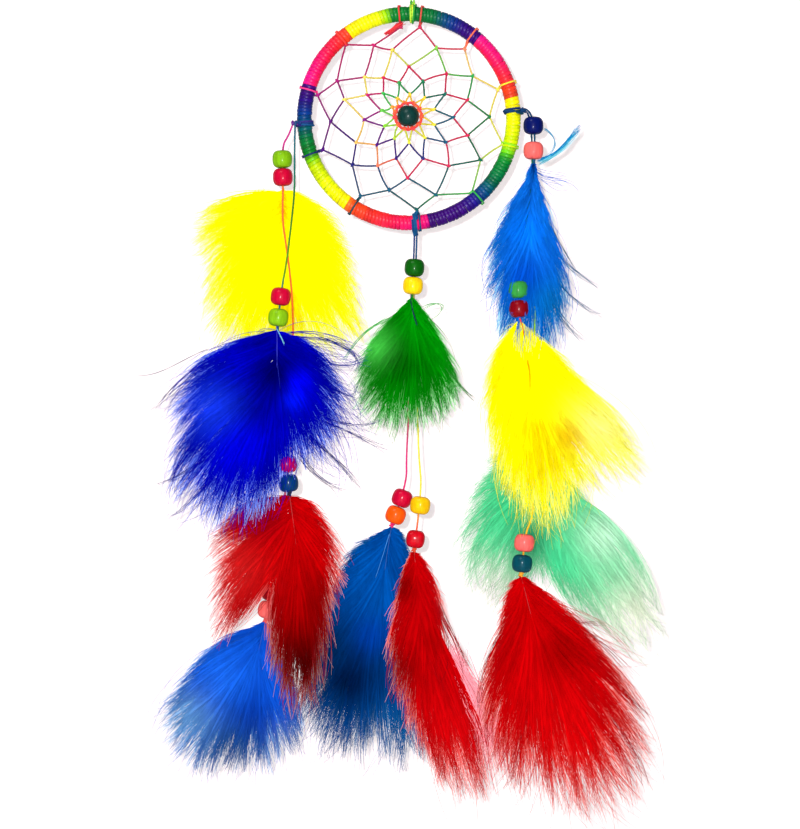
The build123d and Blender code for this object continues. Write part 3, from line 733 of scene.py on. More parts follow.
foot = KNOT_LENGTH / 4
loop_line = route_line([vec(-foot, 0, -LOOP_HEIGHT), vec(-LOOP_WIDTH / 2, 0, CORD_RADIUS),
                        vec(LOOP_WIDTH / 2, 0, CORD_RADIUS), vec(foot, 0, -LOOP_HEIGHT)])
loop = Shape()
lime = "0 150 220 60, 0.5 225 235 60, 1 120 200 70"
loop.rope(loop_line, CORD_RADIUS, lime, lay=2.4, step=0.35, rough=0.1)
hanging = loop.make("hanging_cord", cord_finish, "hanger", "loop_cord", "hanging_loop")
tie = Shape()
hitch_turns(tie, HANG_CLOCK - 0.3, lime, 2.0, 1.0)
hitch_turns(tie, HANG_CLOCK + 0.9, "0 60 170 60, 1 30 140 60", 1.0, 0.8, RING + 0.35, start=0.1, lean=0.4)
knot_turns(tie, vec(0, 0, -LOOP_HEIGHT), ALONG_X, "0 40 150 60, 1 170 225 60", 0.75, 2.3)
tie.make("loop_tie", cord_finish, "hanger", "loop_cord")

# ---- beads ----

BORE = 1.25


def bead(node, body, centre, axis, colour, slot, streaks, radius=BEAD_RADIUS, length=BEAD_LENGTH, power=0.76,
         square=0.0, material=bead_finish):
    """A turned wooden bead: rounded shoulders, a dished bore and slight unevenness."""
    draw = np.random.default_rng(len(node))
    axis = unit(axis)
    u = unit(np.cross((0, 1, 0), axis))
    v = np.cross(axis, u)
    swing = np.linspace(0, math.pi, 34)
    inside = np.linspace(-1, 1, 6)[1:-1] * (length / 2 - 0.25)
    high = length / 2 * np.sign(np.cos(swing)) * np.abs(np.cos(swing)) ** power
    high = np.concatenate([high, inside])
    wide = BORE + (radius - BORE) * np.abs(np.sin(swing)) ** power
    wide = np.concatenate([wide, np.full(len(inside), BORE - 0.02)])
    turn = np.arange(64) * ROUND / 64
    corner = 1 / (np.abs(np.cos(turn)) ** 4 + np.abs(np.sin(turn)) ** 4) ** 0.25
    corner = 1 + square * (corner / corner.mean() - 1)
    lumps = 1 + 0.006 * np.sin(2 * turn + draw.uniform(0, 6)) + 0.004 * np.sin(5 * turn + draw.uniform(0, 6))
    scale = np.where(wide[:, None] > BORE * 1.05, corner * lumps, 1)
    rings = centre + high[:, None, None] * axis + (wide[:, None] * scale)[..., None] * circle(turn, u, v)
    stripe = sum(np.sin(n * turn + draw.uniform(0, 6)) for n in (5, 9, 14, 23)) / 4
    shade = 1 + 0.05 * draw.normal(size=len(high))[:, None] * 0.4 + streaks * stripe
    # painted shade: each bead is darker within half a millimetre of its ends, round the mouths of its bore
    rim = np.where(np.abs(high) > length / 2 - 0.5, 0.72, 1.0)[:, None]
    shape = Shape()
    shape.grid(rings, np.clip(rgb(*colour) * (shade * rim)[..., None], 0, 1), closed=True)
    shape.make(node + "_turned", material, body, slot, node)


# each bead's own name, its kind, its colour and how streaky its dye is
for pair, upper, lower in (
    (left_yellow, "lime lime 122 176 14 0.1", "crimson crimson 194 0 48 0.04"),
    (left_blue, "crimson_b crimson 194 0 48 0.04", "lime_b lime 130 184 18 0.14"),
    (left_red, "crimson_c crimson 200 0 60 0.04", "teal teal 0 55 100 0.06"),
    (left_light, "dark_red dark_red 130 0 15 0.06", "coral coral 247 102 97 0.04"),
    (centre_green, "green green 5 88 6 0.08", "yellow yellow 255 208 10 0.08"),
    (centre_blue, "crimson crimson 194 0 48 0.04", "orange orange 255 85 5 0.05"),
    (centre_red, "yellow_b yellow 250 190 5 0.07", "red red 195 0 22 0.08"),
    (right_blue, "navy navy 0 14 90 0.05", "coral coral 247 102 97 0.04"),
    (right_yellow, "green mid_green 50 145 60 0.1", "dark_red dark_red 130 0 15 0.06"),
    (right_red, "coral_b coral 247 102 97 0.04", "dark_teal dark_teal 0 70 85 0.06"),
    (right_green, "hidden mid_green 50 140 60 0.08", "hidden_b yellow 255 208 10 0.06"),
):
    tail = pair.body.split("_")[0]
    for place, row in ((pair.upper, upper.split()), (pair.lower, lower.split())):
        *colour, streaks = map(float, row[2:])
        bead(f"{tail}_bead_{row[0]}", pair.body, place, pair.axis, colour, "bead_" + row[1], streaks,
             square=0.8 if row[0] == "red" else 0.0)
bead("centre_bead", "hoop", around, vec(0.05, 0, 1), (0, 50, 46), "bead_centre", streaks=0.05,
     radius=5.45, length=10.3, power=1.0, material=centre_finish)

# ---- feathers ----

# how far to the side the longest hairs may reach, and how far barbs and loose ends may lie from the vane
SIDE_LIMIT = 128.5
BARB_DEPTH = 2.6
LOOSE_DEPTH = 2.4
# how much paler the down gets at its very edge
EDGE_WHITE = 0.22
# how many points there are along a lock's stem and along each kind of fibre
STEM, FILL, VEIL, BARB, BRANCH, LOOSE, THREAD = 18, 10, 8, 9, 4, 15, 24


def bezier(points, t):
    """Cubic Bezier; points are four arrays, t any shape."""
    t = t[..., None]
    a, b, c, d = points
    return (1 - t) ** 3 * a + 3 * (1 - t) ** 2 * t * b + 3 * (1 - t) * t ** 2 * c + t ** 3 * d


def along_outline(points, t):
    """Places on a smooth outline through given points, t from 0 to 1 by length."""
    points = np.array(points, float)
    lengths = np.linalg.norm(np.diff(points, axis=0), axis=1)
    at = np.concatenate([[0], np.cumsum(lengths)]) / lengths.sum()
    fine = steps(240)
    x, z = (np.interp(fine, at, points[:, k]) for k in (0, 1))
    soft = np.hanning(11) / np.hanning(11).sum()
    x, z = (np.convolve(np.pad(c, 5, mode="edge"), soft, mode="valid") for c in (x, z))
    return np.stack([np.interp(t, fine, x), 0 * t, np.interp(t, fine, z)], axis=-1)


def crosswise(lines):
    """Directions across lines[n, m], in the plane of a feather."""
    run = unit(np.gradient(lines, axis=1))
    return unit(np.stack([-run[..., 2], 0 * run[..., 0], run[..., 0]], -1) + 1e-9)


def sideways(way):
    """The directions turned by a quarter in the plane of a feather."""
    return np.stack([-way[:, 2], 0 * way[:, 0], way[:, 0]], -1)


def feather(name, kind, pair, back, tip, outline, shades, patches, seed, hairs=3000, locks=240, rachis=0.4,
            bend=0, bulge=0, stay=0, droop=0, wisps=140, curl=1, thick=0.14, depth=1, haze=2400, fuzz=0,
            ease=1.7, ahead=(0, 0), wave=1, strays="", threads="", node=None):
    """A dyed marabou feather: a thin quill with long soft barbs in locks that run out to an outline.

    back is the side of the beads that it lies on, and tip and outline are X and Z from the top of the
    vane. shades are the colours of the painted shade deep inside, of the face, at the barbs' ends and of
    the fine down between them. rachis is how far down the quill barbs start, bulge bows them outwards,
    stay keeps them along the quill first and droop bends their ends down. ease is how gently the vane thins
    out towards its edge, and ahead the share of barbs that lie in front of what hangs there, and how far.
    patches are rows of X, Z, radius, colour and strength, lighter and darker spots over the face that are
    partly the feather's own dye and partly painted shade; strays are rows of X, Z, how many loose ends and
    their spread, and threads, hairs that bend their own way, of four X and Z, how many, their spread, their
    colour and perhaps how far in front they lie.
    """
    draw = np.random.default_rng(seed)
    outline = numbers(outline)
    top = pair.below(VANE_GAP)
    origin = vec(top[0], pair.lower[1] + back * VANE_THICKNESS / 2, top[2])
    spine = [vec(tip[0] * along + aside, 0, tip[1] * along)
             for along, aside in ((0, 0), (0.33, bend), (0.66, bend), (1, 0))]
    # painted shade deep in the folds, then the colours of the face, the barbs' ends and the down
    dark, face, ends, pale = (rgb(*colour) for colour in numbers(shades))
    deep = min(z for _, z in outline)
    phase = draw.uniform(0, ROUND, 6)
    # the barbs are one piece, and the down behind them with the loose ends another
    barbs, down = Shape(), Shape()

    def quill_place(low):
        """Where on the quill the barbs start that end at these heights."""
        return 0.01 + rachis * np.clip(low / deep, 0, 1) ** 1.3

    def facing(n, lean, twist):
        """Normals of n strips that lie nearly flat in the vane."""
        return unit(draw.normal(size=(n, 3)) * (lean, 0, twist) + (0, 1, 0))

    def curves(end, m, wander):
        """Lines from the quill to their ends."""
        n = len(end)
        f = steps(m)[None, :]
        root_at = np.clip(quill_place(end[:, 2]) * draw.uniform(0.7, 1.1, n), 0, 1)
        root = bezier(spine, root_at)
        span = np.linalg.norm(end - root, axis=1, keepdims=True)
        way = unit(end - root)
        aside = np.sign(way[:, :1]) * vec(1, 0, 0.1)
        run = unit(bezier(spine, np.minimum(root_at + 0.03, 1.03)) - bezier(spine, root_at))
        bow = sideways(way) * draw.normal(size=(n, 1)) * 0.17 * wander
        lead = unit(way + bulge * aside * np.abs(way[:, :1]) ** 0.5 + stay * run + bow)
        fall = unit(way + droop * draw.uniform(0.4, 1.5, (n, 1)) * vec(0, 0, -1) - bow * 1.2)
        lines = bezier([x[:, None] for x in (root, root + lead * span * 0.38, end - fall * span * 0.34, end)],
                       np.broadcast_to(f, (n, m)))
        swing = np.sin(draw.uniform(0, 6.3, (n, 1)) + f * draw.uniform(3, 7, (n, 1)))
        swing = swing * f * draw.uniform(0, 0.7 * wander, (n, 1)) * np.minimum(span / 20, 1)
        return lines + crosswise(lines) * swing[..., None]

    def patched(tints, lines):
        for x, z, radius, *colour, strength in numbers(patches):
            near = np.exp(-((lines[..., :1] - x) ** 2 + (lines[..., 2:] - z) ** 2) / radius ** 2)
            tints = tints + (rgb(*colour) - tints) * near * strength
        return tints

    def tinted(lines, t, f, spread=0.08):
        """Colours of barbs: painted shade in soft folds along them, patches over the face, paler ends."""
        n = len(lines)
        t = t[:, None]
        # painted shade: the barbs darken towards the first of the shades where the folds dip
        fold_shade = 0.4 * np.sin(23 * t + phase[0] + 2.5 * f) + 0.22 * np.sin(51 * t + phase[1] - 2.5 * f)
        fold_shade = fold_shade + 0.2 * np.sin(lines[..., 0] / 5 + lines[..., 2] / 11 + phase[2])
        fold_shade = fold_shade + 0.1 * np.sin(110 * t + phase[3] + 4 * f)
        tone = np.clip(0.66 + 0.42 * fold_shade + spread * draw.normal(size=(n, 1)), 0, 1)
        tints = patched(dark + (face - dark) * tone[..., None], lines)
        fade = np.clip((f - 0.74 + 0.05 * draw.normal(size=(n, 1))) / 0.3, 0, 1)
        tints = tints + (ends - tints) * (fade * draw.uniform(0.3, 1.0, (n, 1)))[..., None]
        return np.clip(tints * draw.uniform(0.94, 1.05, (n, 1, 1)), 0, 1)

    # locks of barbs that start apart along the quill and end in points
    where = (np.arange(locks) + draw.uniform(0, 1, locks)) / locks
    edge = along_outline(outline, where)
    reach = 1.0 + 0.05 * draw.normal(size=(locks, 1)) - 0.1 * (draw.uniform(size=(locks, 1)) < 0.25)
    start = bezier(spine, quill_place(edge[:, 2]))
    stem = curves(start + (edge - start) * reach, STEM, wave)
    level = 0.8 * draw.normal(size=locks)
    # short barbs at the top stray less
    sway = np.clip(np.linalg.norm(stem[:, -1] - stem[:, 0], axis=1) / 24, 0.12, 1)
    rim = np.linalg.norm(np.diff(along_outline(outline, steps(100)), axis=0), axis=1).sum()

    def spread_out(pick, aside, length, m, tight=0.3, loose=0.0):
        """Barbs laid beside their lock's stem, ending part of the way along it."""
        n = len(pick)
        f = steps(m)[None, :] * length[:, None]
        at = np.clip(f, 0, 0.9999) * (STEM - 1)
        low = at.astype(int)
        rest = (at - low)[..., None]
        lines = stem[pick[:, None], low] * (1 - rest) + stem[pick[:, None], low + 1] * rest
        over = np.maximum(f - 1, 0)[..., None]
        lines = lines + (stem[pick, -1] - stem[pick, -2])[:, None] * over * (STEM - 1)
        fan = f ** 0.7 * np.clip(1 - f, 0, 1) ** 0.75 * 1.6 + tight * f
        shift = aside[:, None] * rim / locks * fan + loose * draw.normal(size=(n, 1)) * f ** 2.2
        lines = lines + crosswise(lines) * (shift * sway[pick, None])[..., None]
        run = unit(stem[pick, 1] - stem[pick, 0])
        slip = draw.uniform(-0.2, 1, (n, 1)) * 3.0 * sway[pick, None] * (1 - np.minimum(f, 1)) ** 3
        lines = lines + run[:, None] * slip[..., None]
        lies = (level[pick] + 0.75 * draw.normal(size=n))[:, None] * np.minimum(f, 1) ** 0.6
        lines[..., 1] = np.clip(lies, -BARB_DEPTH, BARB_DEPTH) * depth
        lines[..., 1] -= (draw.uniform(size=(n, 1)) < ahead[0]) * ahead[1] * np.clip(f * 1.6, 0, 1) ** 0.8
        lines[..., 0] = np.minimum(lines[..., 0], SIDE_LIMIT - origin[0])
        return lines, f, (where[pick] + aside * 1.2 / locks)

    # soft fill, and a core round the quill
    n = 1200
    pick, aside = draw.integers(0, locks, n), draw.uniform(-2.5, 2.5, n)
    lines, f, t = spread_out(pick, aside, draw.uniform(0.4, 0.56 + 0.16 * ease, n), FILL)
    g = steps(FILL)[None, :]
    broad = draw.uniform(0.28, 0.5, (n, 1)) * np.sin(np.clip(g * 0.95 + 0.05, 0, 1) * math.pi) ** 0.7 + 0.03
    down.ribbons(lines + origin, broad, tinted(lines, t, f, 0.04), facing(n, 0.16, 0.1))
    n = 90
    core = bezier(spine, np.linspace(0.01, 0.8, FILL) * draw.uniform(0.6, 1, (n, 1)))
    core = core + ALONG_X * (draw.normal(size=(n, 1)) * np.linspace(0.2, 2.4, FILL) ** 0.8)[..., None]
    core[..., 1] = draw.uniform(0, 1.2, (n, 1))
    down.ribbons(core + origin, np.broadcast_to(0.6 * np.sin(np.linspace(0.3, 2.9, FILL)), (n, FILL)),
                 tinted(core, draw.uniform(0, 1, n), 0 * core[..., 0], 0.04), np.tile(-FRONT, (n, 1)))
    # a veil of fine down behind the barbs, paler towards its edge
    pick, aside = draw.integers(0, locks, haze), draw.uniform(-2.2, 2.2, haze)
    lines, f, t = spread_out(pick, aside, draw.uniform(0.7, 1.06, haze), VEIL, 0.9, loose=1.7)
    lines[..., 1] = np.abs(lines[..., 1]) * 0.6 + 0.5
    tints = patched(face + (pale - face) * np.clip((f[..., None] - 0.4) / 0.4, 0, 1), lines)
    tints = tints + (1 - tints) * EDGE_WHITE * np.clip((f[..., None] - 0.8) / 0.22, 0, 1)
    taper = thick * 1.2 * np.interp(steps(VEIL), [0, 0.7, 1], [0.7, 1, 0.35])
    tints = tints * draw.uniform(0.94, 1.0, (haze, 1, 1))
    down.ribbons(lines + origin, np.broadcast_to(taper, f.shape), tints, facing(haze, 0.25, 0.25))
    # barbs
    pick, aside = draw.integers(0, locks, hairs), draw.normal(size=hairs)
    length = 1.02 - 0.65 * draw.uniform(0, 1, hairs) ** ease
    lines, f, t = spread_out(pick, aside, length, BARB, 0.5, loose=1.1)
    taper = np.interp(steps(BARB), [0, 0.12, 0.7, 1], [0.5, 1.0, 0.9, 0.42])
    taper = taper * draw.uniform(0.7, 1.2, (hairs, 1))
    tints = tinted(lines, t, f)
    barbs.hairs(lines + origin, thick * taper, tints)
    # short branches of the barbs
    if fuzz:
        of = draw.integers(0, hairs, fuzz)
        at = (draw.uniform(0.3, 0.98, fuzz) * (BARB - 1)).astype(int)
        run = unit(lines[of, np.minimum(at + 1, BARB - 1)] - lines[of, at - 1])
        side = sideways(run) * draw.choice([-1, 1], fuzz)[:, None]
        go = unit(run + side * draw.uniform(0.2, 0.9, (fuzz, 1)) + draw.normal(size=(fuzz, 3)) * (0, 0.25, 0))
        h = steps(BRANCH)[None, :, None]
        go = go[:, None] * draw.uniform(1.5, 5.0, (fuzz, 1, 1)) * sway[pick[of], None, None]
        strips = lines[of, at][:, None] + go * h + vec(0, 0, -0.5) * h ** 2
        down.ribbons(strips + origin, 0.09 * (1.1 - h[..., 0]) * np.ones((fuzz, 1)),
                     tints[of, at][:, None] * np.ones((1, BRANCH, 1)), facing(fuzz, 0.3, 0.3))
    # single long hairs past the edge, and loose ends
    spots = along_outline(outline, draw.uniform(0, 1, wisps))
    start = bezier(spine, quill_place(spots[:, 2]))
    past = start + (spots - start) * draw.uniform(1.0, 1.2, (wisps, 1))
    past = past + draw.normal(size=(wisps, 3)) * (1.6, 0, 1.6)
    for x, z, number, wide in numbers(strays):
        loose = draw.normal(size=(int(number), 3)) * (wide, 0, wide)
        past = np.concatenate([past, vec(x, 0, z) + loose])
    past[:, 0] = np.minimum(past[:, 0], SIDE_LIMIT - origin[0])
    lines = curves(past, LOOSE, 2.2 * curl)
    n = len(past)
    lies = np.clip(draw.normal(size=(n, 1)) * 1.1, -LOOSE_DEPTH, LOOSE_DEPTH)
    lines[..., 1] = lies * depth * steps(LOOSE) ** 0.7
    g = np.broadcast_to(steps(LOOSE), (n, LOOSE))
    down.hairs(lines + origin, thick * 0.8 * np.interp(g, [0, 0.2, 0.8, 1], [0.4, 1, 0.8, 0.4]),
               tinted(lines, draw.uniform(0, 1, n), g))
    h = steps(THREAD)
    taper = thick * np.interp(h, [0, 0.1, 0.6, 1], [0.5, 1.0, 0.9, 0.4])
    for row in numbers(threads):
        number, wide, colour, before = int(row[8]), row[9], row[10:13], row[13:]
        ways = bezier([vec(x, 0, z) + draw.normal(size=(number, 1, 3)) * (wide, 0, wide) * k
                       for x, z, k in zip(row[0:8:2], row[1:8:2], (0.6, 0.5, 0.8, 1.0))],
                      np.broadcast_to(h, (number, THREAD)))
        ways[..., 1] = -before[0] if before else np.clip(draw.normal(size=(number, 1)), -2, 2) * depth * h
        down.hairs(ways + origin, np.broadcast_to(taper, (number, THREAD)),
                   np.broadcast_to(rgb(*colour), ways.shape) * draw.uniform(0.7, 1.3, (number, 1, 1)))
    slot = "feather_" + kind
    barbs.make(name + "_barbs", feather_finish, pair.body, slot, node or name + "_feather")
    down.make(name + "_down", feather_finish, pair.body, slot)
    quill = Shape()
    s = np.linspace(0, 0.9, 40)
    shaft = bezier(spine, s) + origin
    hold = pair.lower + vec(0, back * QUILL_OFFSET, 0)
    neck = hold + (pair.below(0.2, back=back * QUILL_OFFSET) - hold) * steps(8)[:, None]
    radii = np.concatenate([np.full(len(neck), 0.5), 0.42 - 0.36 * s[1:] ** 0.5])
    quill.tube(np.concatenate([neck, shaft[1:]]), radii, np.clip(face * 0.7 + 0.012, 0, 1))
    quill.make(name + "_down_quill", quill_finish, pair.body, slot)


feather("left_yellow", "yellow", left_yellow, 1, (-0.75, -70), seed=21, rachis=0.35, depth=0.5, droop=0.05,
        bulge=0.15, fuzz=7000, outline="""
    -4 -3, -12.5 -8, -20 -10.5, -27.5 -11.5, -37.5 -11, -43 -12.5, -43 -19, -44 -26.5, -42.5 -34, -38.5 -39,
    -38 -48, -38 -60, -36 -72, -28 -80, -10 -84, 5 -84, 20 -81, 32 -78, 38 -70, 37 -60, 36 -50, 35 -41,
    33 -34, 31 -26, 28 -21, 22 -14, 16 -9, 9 -4
""", shades="255 242 0, 255 254 0, 255 254 30, 255 254 90", patches="""
    1 -10 7 255 205 0 0.7, 4 -60 9 255 215 0 0.5""", threads="0 0 0 -4 -1 -8 0 -13 7 0.5 255 160 20 1.6")
feather("left_royal", "royal", left_blue, -1, (-9, -84), seed=22, hairs=3700, locks=260, rachis=0.42,
        bend=4, ease=1.35, ahead=(0.5, 2.2), droop=0.4, bulge=0.14, wisps=330, curl=1.5, haze=4200,
        outline="""
    -3 -2, -14 -8, -26 -14, -36 -18, -44 -23, -49 -31, -50 -36, -49 -46, -49 -56, -48 -66, -49 -76, -47 -86,
    -40 -92, -30 -96, -20 -96, -10 -92, -3 -84, 3 -76, 7 -66, 11 -65, 18 -67, 23 -66, 27 -58, 30 -48,
    32 -37, 31 -28, 27 -21, 21 -15, 14 -10, 6 -4
""", shades="0 0 120, 0 0 195, 15 22 150, 105 140 250", patches="""
    0 -22 14 0 0 70 0.9, -10 -42 9 0 0 105 0.7, 12 -27 6 0 0 245 0.9, 8 -36 5 0 20 255 0.8,
    -34 -40 13 25 65 245 0.75, -18 -62 14 0 0 225 0.7""", strays="""
    -58 -38 10 4, 44 -52 26 4.5, 36 -34 26 4, 34 -72 22 5, -56 -74 8 4, 41 -15 26 3.5""", threads="""
    -34 -10 -48 -15 -56 -24 -70 -24 2 0.8 25 25 80, -33 -14 -46 -23 -54 -30 -62 -39 3 1.2 20 20 90,
    -38 -22 -48 -28 -56 -36 -63 -42 3 1.5 20 20 90, 20 -4 34 -8 46 -14 39 -21 7 1.8 25 40 130,
    17 -11 30 -22 38 -18 44 -15 6 1.5 20 35 140, 17 -26 30 -30 40 -38 40 -30 5 1.5 20 35 140,
    18 -41 32 -48 42 -50 52 -46 5 1.2 25 25 110, 20 -46 34 -50 44 -56 55 -60 5 1.4 25 25 110,
    16 -54 27 -63 34 -70 40 -77 6 1.6 25 25 110, 10 -62 18 -72 26 -78 33 -81 6 1.8 25 25 110,
    -34 -64 -43 -71 -50 -75 -60 -77 4 1.2 25 25 100, -32 -74 -40 -84 -46 -90 -53 -92 5 1.5 25 30 120,
    0 0 1 -2 2.5 -5 4 -8 5 0.25 120 190 215 3, 0 -8 0 -16 1 -22 2 -30 1 0.1 40 50 170 3""")
feather("left_red", "red", left_red, 1, (8, -95), seed=23, hairs=3300, bend=2, ease=1.4, bulge=0.2,
        droop=0.3, wisps=120, outline="""
    -3.5 -2, -11 -5, -18.5 -7.5, -26 -12.5, -33.5 -17, -41 -22.5, -42 -27.5, -39.5 -32, -37.5 -38.5,
    -38.5 -46, -37.5 -53.5, -38 -61, -36.5 -70, -32 -72, -27 -64, -23 -54, -19 -45, -13 -38, -6.5 -38,
    -5.5 -50, -6 -66, -8.5 -82, -7.5 -93.5, -3.5 -98.5, 1.5 -106, 7 -108.5, 12 -102, 14 -94, 17.5 -73.5,
    20.5 -58, 24 -48.5, 26.5 -38.5, 25.5 -31, 20.5 -21, 16.5 -13.5, 11.5 -7, 5.5 -2
""", shades="145 0 2, 198 0 4, 190 22 32, 240 115 112", patches="""
    8 -86 29 58 0 0 0.94, -15 -10 12 110 0 15 0.7, 16 -55 12 130 0 0 0.6, -28 -38 14 230 40 40 0.5""")
feather("left_cornflower", "cornflower", left_light, 1, (-20, -66), node="left_lightblue_feather", seed=24,
        hairs=3500, rachis=0.25, bend=2, bulge=0.15, droop=0.1, stay=0.2, wisps=130, outline="""
    -2.5 -1.5, -6.5 -4, -11.5 -8, -17.5 -11.5, -24 -15, -31.5 -20, -36.5 -25, -41.5 -30, -45.5 -36.5,
    -49 -44, -50.5 -51.5, -49 -61.5, -44 -66.5, -39 -71.5, -31.5 -74, -24 -74, -16.5 -73, -9 -73,
    -1.5 -71.5, 6 -68, 11 -64, 16 -64, 17.5 -56.5, 16 -46.5, 12.5 -39, 8.5 -34, 6 -29, 4.5 -21.5, 3.5 -14,
    2.5 -4
""", shades="5 52 165, 12 86 210, 50 100 160, 110 170 225", patches="""
    -22 -28 13 30 115 245 0.6, -10 -50 12 0 45 160 0.7, -18 -66 17 25 65 120 0.85,
    -42 -50 14 120 180 225 0.7, 14 -62 10 110 130 175 0.7""")
feather("centre_green", "green", centre_green, -1, (2, -50), seed=25, hairs=3400, rachis=0.2, stay=0.5,
        bulge=0.05, droop=0.05, wisps=130, outline="""
    -2 -1.5, -6 -8, -11 -14, -17 -20, -22 -26, -25 -33, -26.5 -40, -27 -47, -26 -53, -24 -58, -19 -62,
    -13 -64.5, -7 -66, 0 -65, 6 -64, 12 -62, 18 -57, 23 -50, 23 -44, 21.5 -38, 18 -31, 14 -24, 10 -18,
    7 -12, 4 -5, 2 -1.5
""", shades="0 98 0, 0 146 6, 25 140 30, 120 215 120", patches="""
    -5 -34 13 0 75 0 0.85, -21 -24 9 85 220 85 0.85""", threads="""
    5 -6 14 0 21 -6 9 -10 4 1.2 60 170 70, -10 -10 -22 -14 -29 -22 -34 -33 7 1.2 70 170 80,
    16 -34 22 -42 26 -48 31 -52 6 1.2 60 130 60, -1 -1 0 -5 1 -10 2.5 -14 7 0.3 25 35 70 2.6""")
feather("centre_azure", "azure", centre_blue, 1, (-10, -96), seed=26, hairs=3800, locks=260, rachis=0.35,
        bend=-2, ease=2.2, haze=4600, stay=0.6, bulge=0.05, wisps=120, outline="""
    -3 -2, -8 -6, -14.5 -11, -20.5 -16, -24 -21, -25.5 -27.5, -28.5 -33.5, -32 -38.5, -35.5 -46, -38 -53.5,
    -40.5 -63.5, -42.5 -73.5, -44 -83.5, -43 -93.5, -39 -103, -34 -109, -26 -114, -16 -114, -8 -113, 0 -115,
    5 -116, 10 -111, 17 -107, 15 -98, 12 -86, 11 -74, 10 -60, 9 -48, 9 -38, 9 -28, 9 -18, 8 -11, 5.5 -5,
    2.5 -1
""", shades="0 54 128, 0 82 172, 0 62 116, 20 92 150", patches="""
    -22 -78 20 0 4 38 0.95, -13 -62 15 0 26 74 0.65, -32 -58 12 0 35 75 0.8, 6 -70 14 0 50 110 0.6,
    -10 -55 9 0 60 170 0.7, 6 -106 14 20 100 160 0.7""", threads="""
    -1 -4 -3 -10 -5 -17 -8 -26 2 0.2 70 140 215 2.2""")
feather("centre_red", "dark_red", centre_red, 1, (26, -104), seed=27, hairs=3200, locks=230, bend=-5,
        ease=1.6, stay=0.5, wisps=100, outline="""
    -2 -1, -4 -7.5, -6.5 -17.5, -8 -25, -9.5 -37.5, -11 -47.5, -10.5 -57.5, -9.5 -67.5, -6.5 -77.5,
    -1.5 -87.5, 3.5 -95, 7.5 -102.5, 11.5 -110, 15 -117.5, 20 -122.5, 25 -124, 30 -123.5, 33.5 -122.5,
    36.5 -117.5, 36 -110, 32 -103, 28 -96, 23 -88, 18 -80, 14 -70, 13 -60, 14.5 -54, 15 -47, 14 -38,
    12.5 -28, 10.5 -20, 8 -12.5, 5 -5, 2.5 -1
""", shades="150 0 3, 198 0 6, 205 22 30, 240 120 115", patches="""
    -6 -18 8 115 0 0 0.8, -8 -60 11 120 0 0 0.8, 10 -45 6 150 0 0 0.6, 20 -92 18 225 5 12 0.6""",
        threads="""
    8 -20 16 -36 22 -48 27 -60 16 2.2 160 15 25, 15 -52 25 -66 35 -82 46 -100 300 8.5 255 165 178,
    12 -32 19 -44 19 -56 11 -52 3 0.6 110 15 20, 10 -52 16 -50 20 -56 12 -66 3 0.7 110 15 20""")
feather("right_blue", "bright_blue", right_blue, 1, (-4, -76), seed=28, hairs=3200, locks=220, rachis=0.5,
        ease=1.45, ahead=(0.55, 9), stay=0.9, wisps=260, curl=1.2, haze=1800, outline="""
    -1.5 -1, -3 -6, -4.5 -11, -6 -15, -8 -19, -10 -23, -14 -27.5, -16 -34, -18 -40, -21 -45, -23.5 -50,
    -21.5 -56, -23.5 -65, -20 -70, -16.5 -75, -16 -82.5, -15 -90, -10 -93, -4 -95, 2.5 -96, 6.5 -96, 10 -93,
    12 -88, 14 -80, 16 -74, 16 -70, 16 -65, 17 -61, 15 -56, 12 -51, 9.5 -44, 7.5 -39, 6 -32.5, 4 -25, 3 -20,
    2 -15, 2 -7.5, 1.5 -1
""", shades="0 74 182, 14 116 226, 20 120 186, 130 214 245", patches="""
    -4 -35 9 0 125 255 0.7, -4 -60 12 0 65 205 0.7, 8 -70 12 0 110 170 0.6""", strays="18 -12 12 2.5",
        threads="""
    3 1 12 4 16 9 23 17 26 1.1 10 135 195, 3 0 11 3 17 8 21 16 22 1.5 120 215 235,
    5 17 11 14 13 8 7 3 6 0.7 90 160 195, 8 -30 14 -42 18 -48 21 -54 4 0.8 70 110 140,
    9 -42 17 -54 24 -56 33 -62 6 1.4 20 90 130, 8 -54 16 -66 24 -72 34 -77 6 1.6 20 90 130,
    6 -66 14 -78 18 -84 26 -90 6 1.6 20 90 130""")
feather("right_yellow", "warm_yellow", right_yellow, -1, (8, -78), seed=29, rachis=0.3, depth=0.6, stay=0.3,
        bulge=0.05, fuzz=3000, outline="""
    -1.5 -0.5, -6 -7.5, -9 -11.5, -12.5 -17.5, -15 -26.5, -16.5 -36.5, -16 -46.5, -14.5 -56.5, -12.5 -66.5,
    -9.5 -76.5, -6 -86.5, 0 -95, 6.5 -100, 14 -102, 22 -99, 28 -90, 36 -82, 48 -78, 60 -76, 60 -70, 58 -63,
    52 -56, 45 -51, 37 -45, 30 -36, 24 -29, 26 -25, 19 -21, 12.5 -18, 8.5 -13, 3.5 -4
""", shades="252 232 0, 255 252 0, 245 240 20, 255 252 100", patches="""
    42 -54 13 255 252 165 0.7, 24 -58 9 225 180 0 0.9, 9 -55 7 240 190 0 0.7, 14 -72 12 235 200 0 0.6""",
        threads="""
    0 1 1 -2 2 -5 2 -8 5 0.3 225 60 10 2.2, 4 -20 5 -25 5 -30 5 -36 5 0.5 235 175 0 1.8""")
